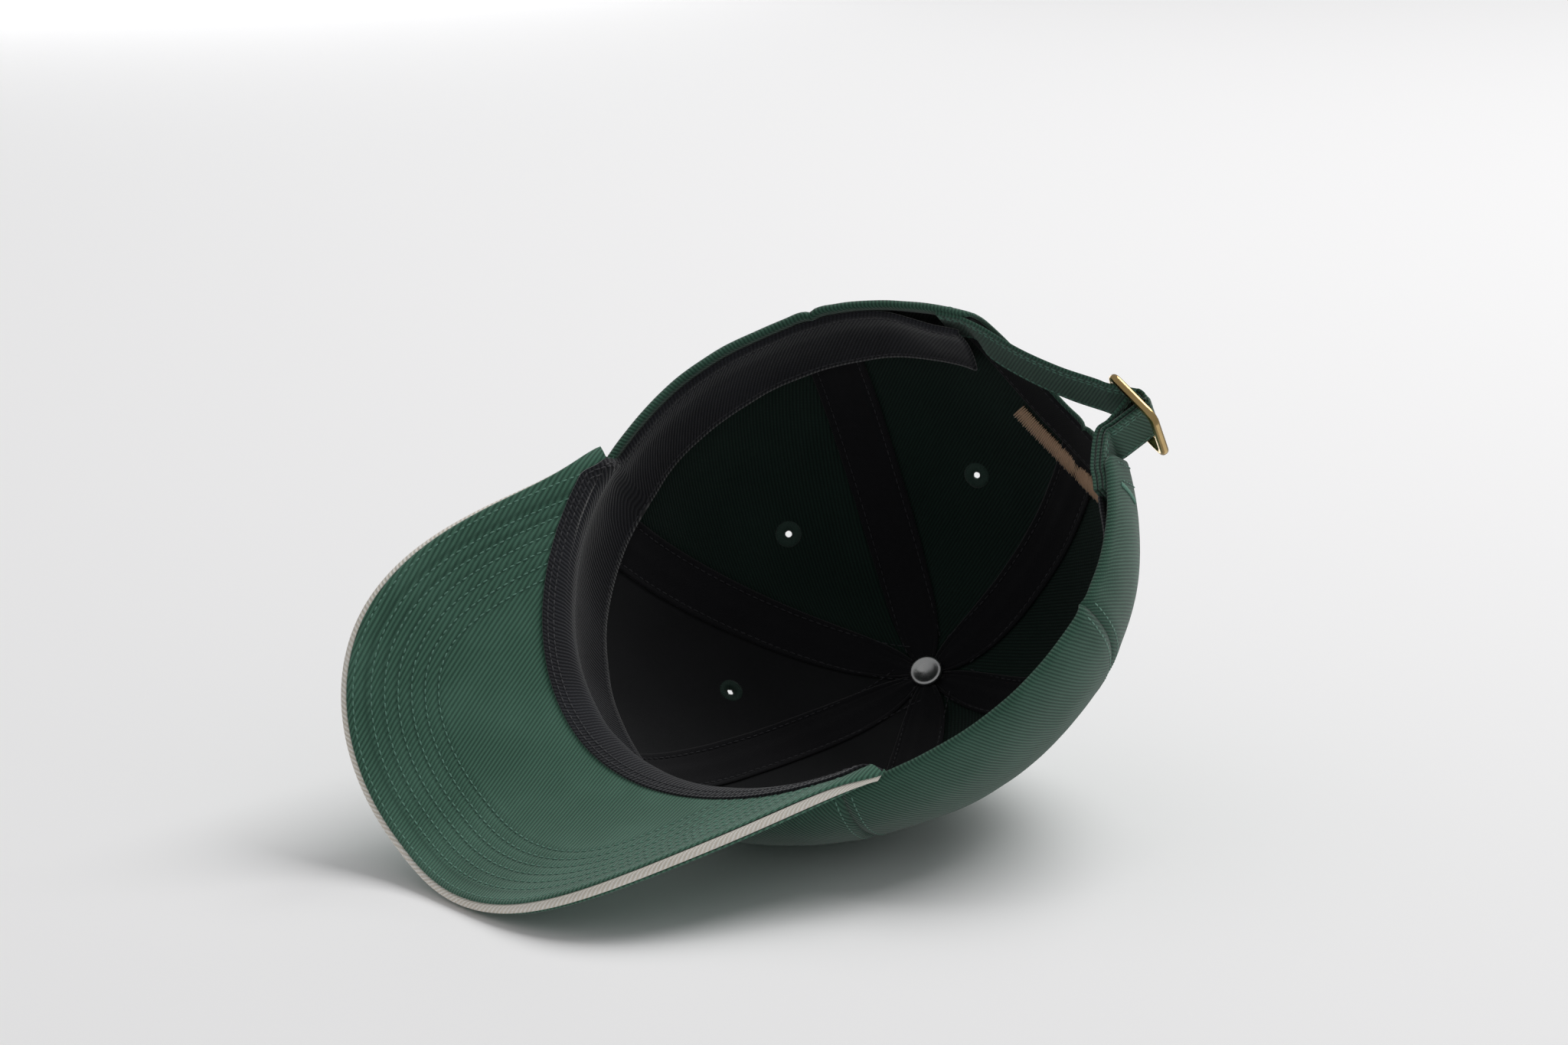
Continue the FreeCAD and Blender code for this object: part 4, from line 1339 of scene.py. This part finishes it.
# %% [markdown]
# ## Button
# The button is a domed core under a circle of twill that is drawn in below, and a rivet
# clamps it through the crown. A lathe shape is quickest as a profile spun about the crown's
# axis. The button's cloth is then pleated a little near its edge, where it is gathered.

# %% Button
BUTTON_SEAT = 110.2
PLEATS = 14
# Radius and height, from the middle of the dome down to the seat.
BUTTON_PROFILE = (
    (0, 4.25), (2.2, 4.15), (4.2, 3.75), (5.9, 3.0), (7.0, 2.0),
    (7.5, 0.95), (7.4, 0.3), (6.6, 0.0), (0, 0.0),
)


def turned(profile, steps=72):
    """A profile of (radius, height) pairs spun about the crown's axis."""
    bm = bmesh.new()
    chart = bm.loops.layers.uv.new("cloth")
    verts = [bm.verts.new((radius, CROWN_SETBACK, height)) for radius, height in profile]
    edges = [bm.edges.new(pair) for pair in zip(verts, verts[1:])]
    bmesh.ops.spin(
        bm, geom=verts + edges, cent=(0, CROWN_SETBACK, 0), axis=(0, 0, 1),
        angle=math.tau, steps=steps, use_merge=True,
    )
    closed(bm)
    for face in bm.faces:
        for loop in face.loops:
            loop[chart].uv = (loop.vert.co.x, loop.vert.co.y)
    return bm


cap_button = turned([(radius, BUTTON_SEAT + height) for radius, height in BUTTON_PROFILE])
for vert in cap_button.verts:
    flat = Vector((vert.co.x, vert.co.y - CROWN_SETBACK, 0))
    pleat = 0.16 * math.cos(math.atan2(flat.y, flat.x) * PLEATS) * ramp((flat.length - 4.5) / 3)
    vert.co += flat.normalized() * pleat
finished(cap_button, "button_cloth", green_twill, ["button_cover", "button_core"])

# %% [markdown]
# ### The rivet
# Pressed from thin plate, the rivet is a dish with a rolled rim and a shank. The same spin
# makes it, from a longer profile, and a few points of the dish are moved up for the small
# dent that the press leaves.

# %% Rivet
RIVET_BASE = 104.7
# Radius and height: the dish, its rolled rim, and the shank that goes up into the button.
RIVET_PROFILE = (
    (0, 0.85), (2.3, 0.8), (3.5, 0.45), (4.4, 0.1), (5.0, 0.0), (5.5, 0.2),
    (5.8, 0.65), (5.75, 1.1), (5.2, 1.3), (1.6, 1.5), (1.6, 5.0), (0, 5.0),
)
rivet = turned([(radius, RIVET_BASE + height) for radius, height in RIVET_PROFILE], 96)
dent = Vector((1.1, CROWN_SETBACK - 0.7, RIVET_BASE + 0.85))
for vert in rivet.verts:
    far = (vert.co - dent).length
    if vert.co.z < RIVET_BASE + 1.0:
        vert.co.z += 0.55 * math.exp(-((far / 1.5) ** 2))
finished(rivet, "rivet_plate", nickel, ["button_rivet"])

# %% [markdown]
# ## Closure
# The strap starts inside the left rear corner, crosses the arch, turns over the buckle's
# bar and is tucked in at the right corner. The buckle hangs on a short loop. Both are flat
# ribbons laid along stations, each the place of the lower and the upper edge. The strap is
# made in two pieces that meet in the fold.

# %% Stations of the straps
# The two bands are stacked round the bar: the loop first, then the strap, with a gap
# between, and LOOP_OUTER and LOOP_INNER are where the loop lies beside the strap's tail.
STRAP_LOW = 1.5
STRAP_WIDE = 20.0
STRAP_THICK = 1.3
LOOP_THICK = 1.2
STRAP_GAP = 0.4
TAIL_MIDDLE = 3.15
BAR = Vector((-27.0, 106.846, 11.5))  # the middle of the buckle's bar
BAR_RADIUS = 1.1
LOOP_RADIUS = BAR_RADIUS + STRAP_GAP + LOOP_THICK / 2
STRAP_RADIUS = LOOP_RADIUS + (LOOP_THICK + STRAP_THICK) / 2 + STRAP_GAP
LOOP_OUTER = (STRAP_THICK + LOOP_THICK) / 2 + STRAP_GAP
LOOP_INNER = LOOP_OUTER + LOOP_THICK + STRAP_GAP


def wall_place(theta, height, depth):
    """A level distance inside the wall."""
    rise = rise_at(theta, height)
    normal = crown_normal(theta, rise)
    level = Vector((normal.x, normal.y, 0))
    return crown_point(theta, rise) - level * (depth / level.length_squared)


def wall_station(theta, depth):
    """A station that lies along the wall."""
    return wall_place(theta, STRAP_LOW, depth), wall_place(theta, STRAP_LOW + STRAP_WIDE, depth)


def free_station(x, y):
    """A station that stands upright, away from the wall."""
    return Vector((x, y, STRAP_LOW)), Vector((x, y, STRAP_LOW + STRAP_WIDE))


def around_bar(radius, angles):
    """Stations on a circle round the bar."""
    turns = [math.radians(angle) for angle in angles]
    return [free_station(BAR.x - radius * math.cos(t), BAR.y + radius * math.sin(t)) for t in turns]


def corner_theta(extra):
    """The angle of a place extra millimetres past the arch's left foot."""
    return math.pi - math.asin((ARCH_WIDE + extra) / HALF_WIDTH)


def wall_y(x):
    """How far back the rim is, x millimetres from the middle."""
    return rim_point(math.pi - math.asin(abs(x) / HALF_WIDTH)).y


print("strap turns", STRAP_RADIUS, "mm and loop", LOOP_RADIUS, "mm from the bar's middle")

# %% [markdown]
# ### Through the arch
# The tail and both sides of the loop go through the arch and lie on each other inside the
# corner. All three are the same strand of stations, moved sideways by their place in the
# stack.

# %% The strand to the corner
CROSSING = ARCH_WIDE * math.sqrt(1 - ((STRAP_LOW + STRAP_WIDE) / ARCH_TALL) ** 2) - 1.5


def strand_to_corner(offset):
    """Through the arch and along the inside of the right rear corner."""
    base = [free_station(-CROSSING, wall_y(CROSSING) + ahead) for ahead in (6.0, 2.0)]
    base += [wall_station(-corner_theta(extra), TAIL_MIDDLE) for extra in (1.0, 5.0, 9.0)]
    last = len(base) - 1
    moved = []
    for i in range(len(base)):
        pair = []
        for edge in (0, 1):
            heading = base[min(i + 1, last)][edge] - base[max(i - 1, 0)][edge]
            inward = Vector((-heading.y, heading.x, 0)).normalized()
            pair.append(base[i][edge] + inward * offset)
        moved.append(tuple(pair))
    return moved


print("bands go through the arch", round(CROSSING, 1), "mm from its middle")

# %% [markdown]
# ### Ribbons
# A smooth line through the stations gives the lower edge and another the upper edge, and
# the grid fills the cloth between them. The edges are rounded by letting them sink a
# little. The same two lines say where the stitch rows go.


# %% Ribbons and their rows
STRAP_STITCH = (2.6, 1.9, 0.6, 0.5)


def through(points, count):
    """A smooth line through points, count steps to each stretch."""
    line = []
    padded = [2 * points[0] - points[1]] + points + [2 * points[-1] - points[-2]]
    for before, start, stop, after in zip(padded, padded[1:], padded[2:], padded[3:]):
        for i in range(count):
            t = i / count
            bend = (stop - before) * t + (2 * before - 5 * start + 4 * stop - after) * t**2
            line.append(start + (bend + (3 * start - before - 3 * stop + after) * t**3) * 0.5)
    return line + [points[-1]]


def ribbon(stations, thickness, count=8):
    """A flat band along stations, with rounded edges and a chart."""
    lows = through([a for a, _ in stations], count)
    highs = through([b for _, b in stations], count)
    lengths = [0.0]
    for one, other in zip(lows, lows[1:]):
        lengths.append(lengths[-1] + (other - one).length)

    def place(step, share):
        low, high = lows[step], highs[step]
        heading = lows[min(step + 1, len(lows) - 1)] - lows[max(step - 1, 0)]
        side = heading.cross(high - low).normalized()
        edge = max(abs(share - 0.5) * 2 - 0.93, 0.0) / 0.07
        point = low.lerp(high, share) + side * (thickness / 2 - 0.3 * edge**2)
        return point, (lengths[step], share * STRAP_WIDE)

    shares = [0, 0.012, 0.035] + spread(0.08, 0.92, 9) + [0.965, 0.988, 1]
    return laid(list(range(len(lows))), shares, place), lows, highs


def ribbon_rows(lows, highs, thickness, shares):
    """Stitch rows along a band, on both faces."""
    frames = []
    for share in shares:
        for face in (1, -1):
            line = []
            for i in range(len(lows)):
                heading = lows[min(i + 1, len(lows) - 1)] - lows[max(i - 1, 0)]
                side = heading.cross(highs[i] - lows[i]).normalized() * face
                line.append((lows[i].lerp(highs[i], share) + side * (thickness / 2 + 0.05), side))
            frames += row_frames(line, *STRAP_STITCH)
    return frames


def make_band(name, stations, thickness, rows, node):
    """A strap piece with its stitch rows, both attached to no body."""
    bm, lows, highs = ribbon(stations, thickness)
    cloth = finished(bm, name, green_twill, [node], thickness, body=None)
    seams = sew(ribbon_rows(lows, highs, thickness, rows))
    return cloth, finished(seams, name + "_stitching", green_thread, body=None)


print("a strap's stitch is", STRAP_STITCH[1], "mm long")

# %% [markdown]
# ### Strap, tail and loop
# The strap hangs a little between the corner and the buckle. Its two pieces meet in the
# fold round the bar, and there both wrap the bar. Each piece runs between the buckle
# and the corner that it is sewn to, and so does the loop.

# %% Strap, tail and loop
start_stations = [wall_station(corner_theta(extra), TAIL_MIDDLE) for extra in (9.0, 5.0, 1.0)]
exit_place = Vector((CROSSING, wall_y(CROSSING) - TAIL_MIDDLE, 0))
beside_buckle = Vector((BAR.x + 11.3, BAR.y - 2.75, 0))
span = beside_buckle - exit_place
SAG = 2.2
run = []
for k in (0.0, 0.33, 0.66, 0.92):
    sag = SAG * math.sin(k * math.pi)
    run.append(free_station(exit_place.x + span.x * k, exit_place.y + span.y * k - sag))
passing = [free_station(beside_buckle.x - 1.0, beside_buckle.y + 0.2)]
fold = around_bar(STRAP_RADIUS, (140, 115, 90, 65, 40, 15))
FOLD_SPLIT = 3
EDGE_ROWS = (0.09, 0.17, 0.91)
LOOP_ROWS = (0.12, 0.88)
run_stations = start_stations + run + passing + fold[:FOLD_SPLIT]
strap_run = make_band("strap_run", run_stations, STRAP_THICK, EDGE_ROWS, "closure_strap")
tail_stations = fold[FOLD_SPLIT - 1 :] + strand_to_corner(0.0)
strap_tail = make_band("strap_tail", tail_stations, STRAP_THICK, EDGE_ROWS, "closure_strap")
over_bar = around_bar(LOOP_RADIUS, (180, 150, 120, 90, 60, 30, 0))
loop_stations = strand_to_corner(LOOP_INNER)[::-1] + over_bar + strand_to_corner(LOOP_OUTER)
buckle_loop = make_band("buckle_loop_cloth", loop_stations, LOOP_THICK, LOOP_ROWS, "buckle_loop")

# %% [markdown]
# ### Baked in place
# The buckle swings about its bar. The strap's two pieces and the loop have their placement
# baked into their meshes.

# %% Baked placements
for piece in strap_run:
    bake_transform(piece)
for piece in strap_tail + buckle_loop:
    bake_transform(piece)
print("blended", [piece.name for piece in strap_run + strap_tail + buckle_loop])

# %% [markdown]
# ## Buckle
# The buckle is a cast brass frame with a domed section. Its section is carried round a
# rounded rectangle and closed on itself, which keeps the dome even at the corners.

# %% Buckle frame
BUCKLE_LONG = 25.0
BUCKLE_TALL = 26.4
RAIL = 3.2
BUCKLE_CORNER = 3.2
BUCKLE_THICK = 2.9


def round_rectangle(share, half_x, half_z, corner):
    """A point and outward direction on a rounded rectangle, share from 0 to 1."""
    sides = (2 * (half_z - corner), 2 * (half_x - corner)) * 2
    arc = corner * math.pi / 2
    at = share * (sum(sides) + 4 * arc)
    for k, side in enumerate(sides):
        turned_by = k * math.pi / 2
        out = Vector((math.cos(turned_by), math.sin(turned_by)))
        on = Vector((-out.y, out.x))
        reach = (half_x, half_z)[k % 2]
        other = (half_z, half_x)[k % 2] - corner
        if at <= side:
            return out * reach + on * (at - other), out
        at -= side
        if at <= arc:
            angle = turned_by + at / corner
            out_now = Vector((math.cos(angle), math.sin(angle)))
            return out * (reach - corner) + on * other + out_now * corner, out_now
        at -= arc
    return Vector((half_x, -half_z + corner)), Vector((1, 0))


def place_frame(share, angle):
    """A place on the frame; angle runs round its section, a slightly squared oval."""
    half_x, half_z = (BUCKLE_LONG - RAIL) / 2, (BUCKLE_TALL - RAIL) / 2
    path, out = round_rectangle(share, half_x, half_z, BUCKLE_CORNER)
    wide = RAIL / 2 * math.copysign(abs(math.cos(angle)) ** 0.8, math.cos(angle))
    thick = BUCKLE_THICK / 2 * math.copysign(abs(math.sin(angle)) ** 0.85, math.sin(angle))
    spot = path + out * wide
    return Vector((BAR.x + spot.x, BAR.y + thick, BAR.z + spot.y)), (share * 90, angle)


buckle = closed(laid(spread(0, 1, 161), spread(0, math.tau, 21), place_frame))
finished(buckle, "buckle_frame_cast", brass, ["buckle_frame"], body="buckle")
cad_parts["buckle_bar"].data.materials[0] = brass

# %% [markdown]
# ## Bartacks
# A bartack is a dense zigzag of thread that locks a strap's end. A column of short stitches
# shows it, each leaning the other way from the one before.


# %% Bartacks
TACK_PLACE = 7.0
TACK_LOW = STRAP_LOW + 4.0
TACK_HIGH = STRAP_LOW + 16.0
TACK_LEAN = 0.14


def make_bartack(name, theta):
    """A column of cross stitches over the strap's end."""
    frames = []
    for i, height in enumerate(spread(TACK_LOW, TACK_HIGH, 22)):
        rise = rise_at(theta, height)
        normal = crown_normal(theta, rise)
        point = on_crown(theta, rise, -0.25)
        up = (crown_point(theta, rise + STEP) - crown_point(theta, rise)).normalized()
        side = up.cross(normal).normalized()
        lean = (side + up * (TACK_LEAN if i % 2 else -TACK_LEAN)).normalized()
        across_lean = normal.cross(lean).normalized()
        frames.append(stitch_frame(point, across_lean * 0.36, normal * 0.4, lean * 1.15))
    finished(sew(frames), name + "_thread", green_thread, [name])


make_bartack("strap_bartack_left", corner_theta(TACK_PLACE))
make_bartack("strap_bartack_right", -corner_theta(TACK_PLACE))

# %% [markdown]
# ## Table
# The table is a wide white sheet, and the cap's shadow falls on it. Seen from beneath it is
# clear, so that the cap can be looked at from every side.

# %% Table
SHEET_RADIUS = 9.0
table_mesh = bpy.data.meshes.new("table")
sheet = bmesh.new()
bmesh.ops.create_circle(sheet, cap_ends=True, segments=96, radius=SHEET_RADIUS)
sheet.to_mesh(table_mesh)
sheet.free()
table = put("table", table_mesh)
level = TABLE_UP.to_track_quat("Z", "Y").to_matrix().to_4x4()
table.matrix_world = Matrix.Translation(TABLE_UP * TABLE_LEVEL) @ level
for kind in ("glossy", "transmission", "shadow"):
    setattr(table, "visible_" + kind, False)

paint = Finish("table_paint")
paint.surface(Base_Color=rgb(0.95, 0.95, 0.96), Roughness=0.9, Specular_IOR_Level=0.1)
clear = paint.tree.nodes.new("ShaderNodeBsdfTransparent")
facing_side = paint.add("ShaderNodeNewGeometry", None, None, "Backfacing")
one_sided = paint.tree.nodes.new("ShaderNodeMixShader")
paint.feed(one_sided.inputs[0], facing_side)
paint.tree.links.new(paint.shader.outputs["BSDF"], one_sided.inputs[1])
paint.tree.links.new(clear.outputs["BSDF"], one_sided.inputs[2])
paint.tree.links.new(one_sided.outputs["Shader"], paint.end.inputs["Surface"])
table_mesh.materials.append(paint.material)
print("table", 2 * SHEET_RADIUS, "m across")

# %% [markdown]
# ## Sky and lamps
# An even pale sky fills the shadows. The camera sees a brighter sky than the one that
# lights the cap, so that the ground behind is white and the shadows keep their depth.

# %% Sky
SKY_SEEN = 0.78
SKY_LIGHT = 0.31
world = bpy.data.worlds.new("sky")
world.use_nodes = True
sky = world.node_tree
seen = sky.nodes["Background"]
seen.inputs["Color"].default_value = rgb(0.97, 0.98, 1.0)
seen.inputs["Strength"].default_value = SKY_SEEN
shining = sky.nodes.new("ShaderNodeBackground")
shining.inputs["Color"].default_value = rgb(0.98, 0.98, 0.985)
shining.inputs["Strength"].default_value = SKY_LIGHT
path = sky.nodes.new("ShaderNodeLightPath")
both = sky.nodes.new("ShaderNodeMixShader")
sky.links.new(path.outputs["Is Camera Ray"], both.inputs[0])
sky.links.new(shining.outputs[0], both.inputs[1])
sky.links.new(seen.outputs[0], both.inputs[2])
sky.links.new(both.outputs[0], sky.nodes["World Output"].inputs["Surface"])
bpy.context.scene.world = world
bpy.context.scene.view_settings.view_transform = "Standard"
print("sky", SKY_SEEN, "as seen,", SKY_LIGHT, "as light")

# %% [markdown]
# ### Lamps
# The key lamp is large and stands above the cap, behind it and to the right, so the
# shadow falls forwards and to the left with a soft edge. Two weak lamps below the table's
# level lift the far side of the crown, and the table throws no shadow of its own.

# %% Lamps
toward_camera = across.cross(TABLE_UP)


def lamp(name, to_right, up, to_camera, size, power, tint=(1.0, 1.0, 1.0)):
    """A square soft lamp aimed at the cap; its place in metres is measured on the table."""
    data = bpy.data.lights.new(name, "AREA")
    data.size = size
    data.energy = power
    data.color = tint
    place = across * to_right + TABLE_UP * up + toward_camera * to_camera
    aim = place.to_track_quat("Z", "Y").to_matrix().to_4x4()
    put(name, data).matrix_world = Matrix.Translation(place) @ aim
    print(name, "lamp", power, "W")


lamp("key", 1.5, 2.9, -1.1, 2.6, 92.0, (1.0, 0.995, 0.985))
lamp("crown_front", -0.6, -0.4, -2.0, 1.4, 9.0)
lamp("crown_top", 1.2, -1.6, -1.0, 1.4, 2.5)

# %% [markdown]
# The finished cap may stand only a little outside the plain model's box.
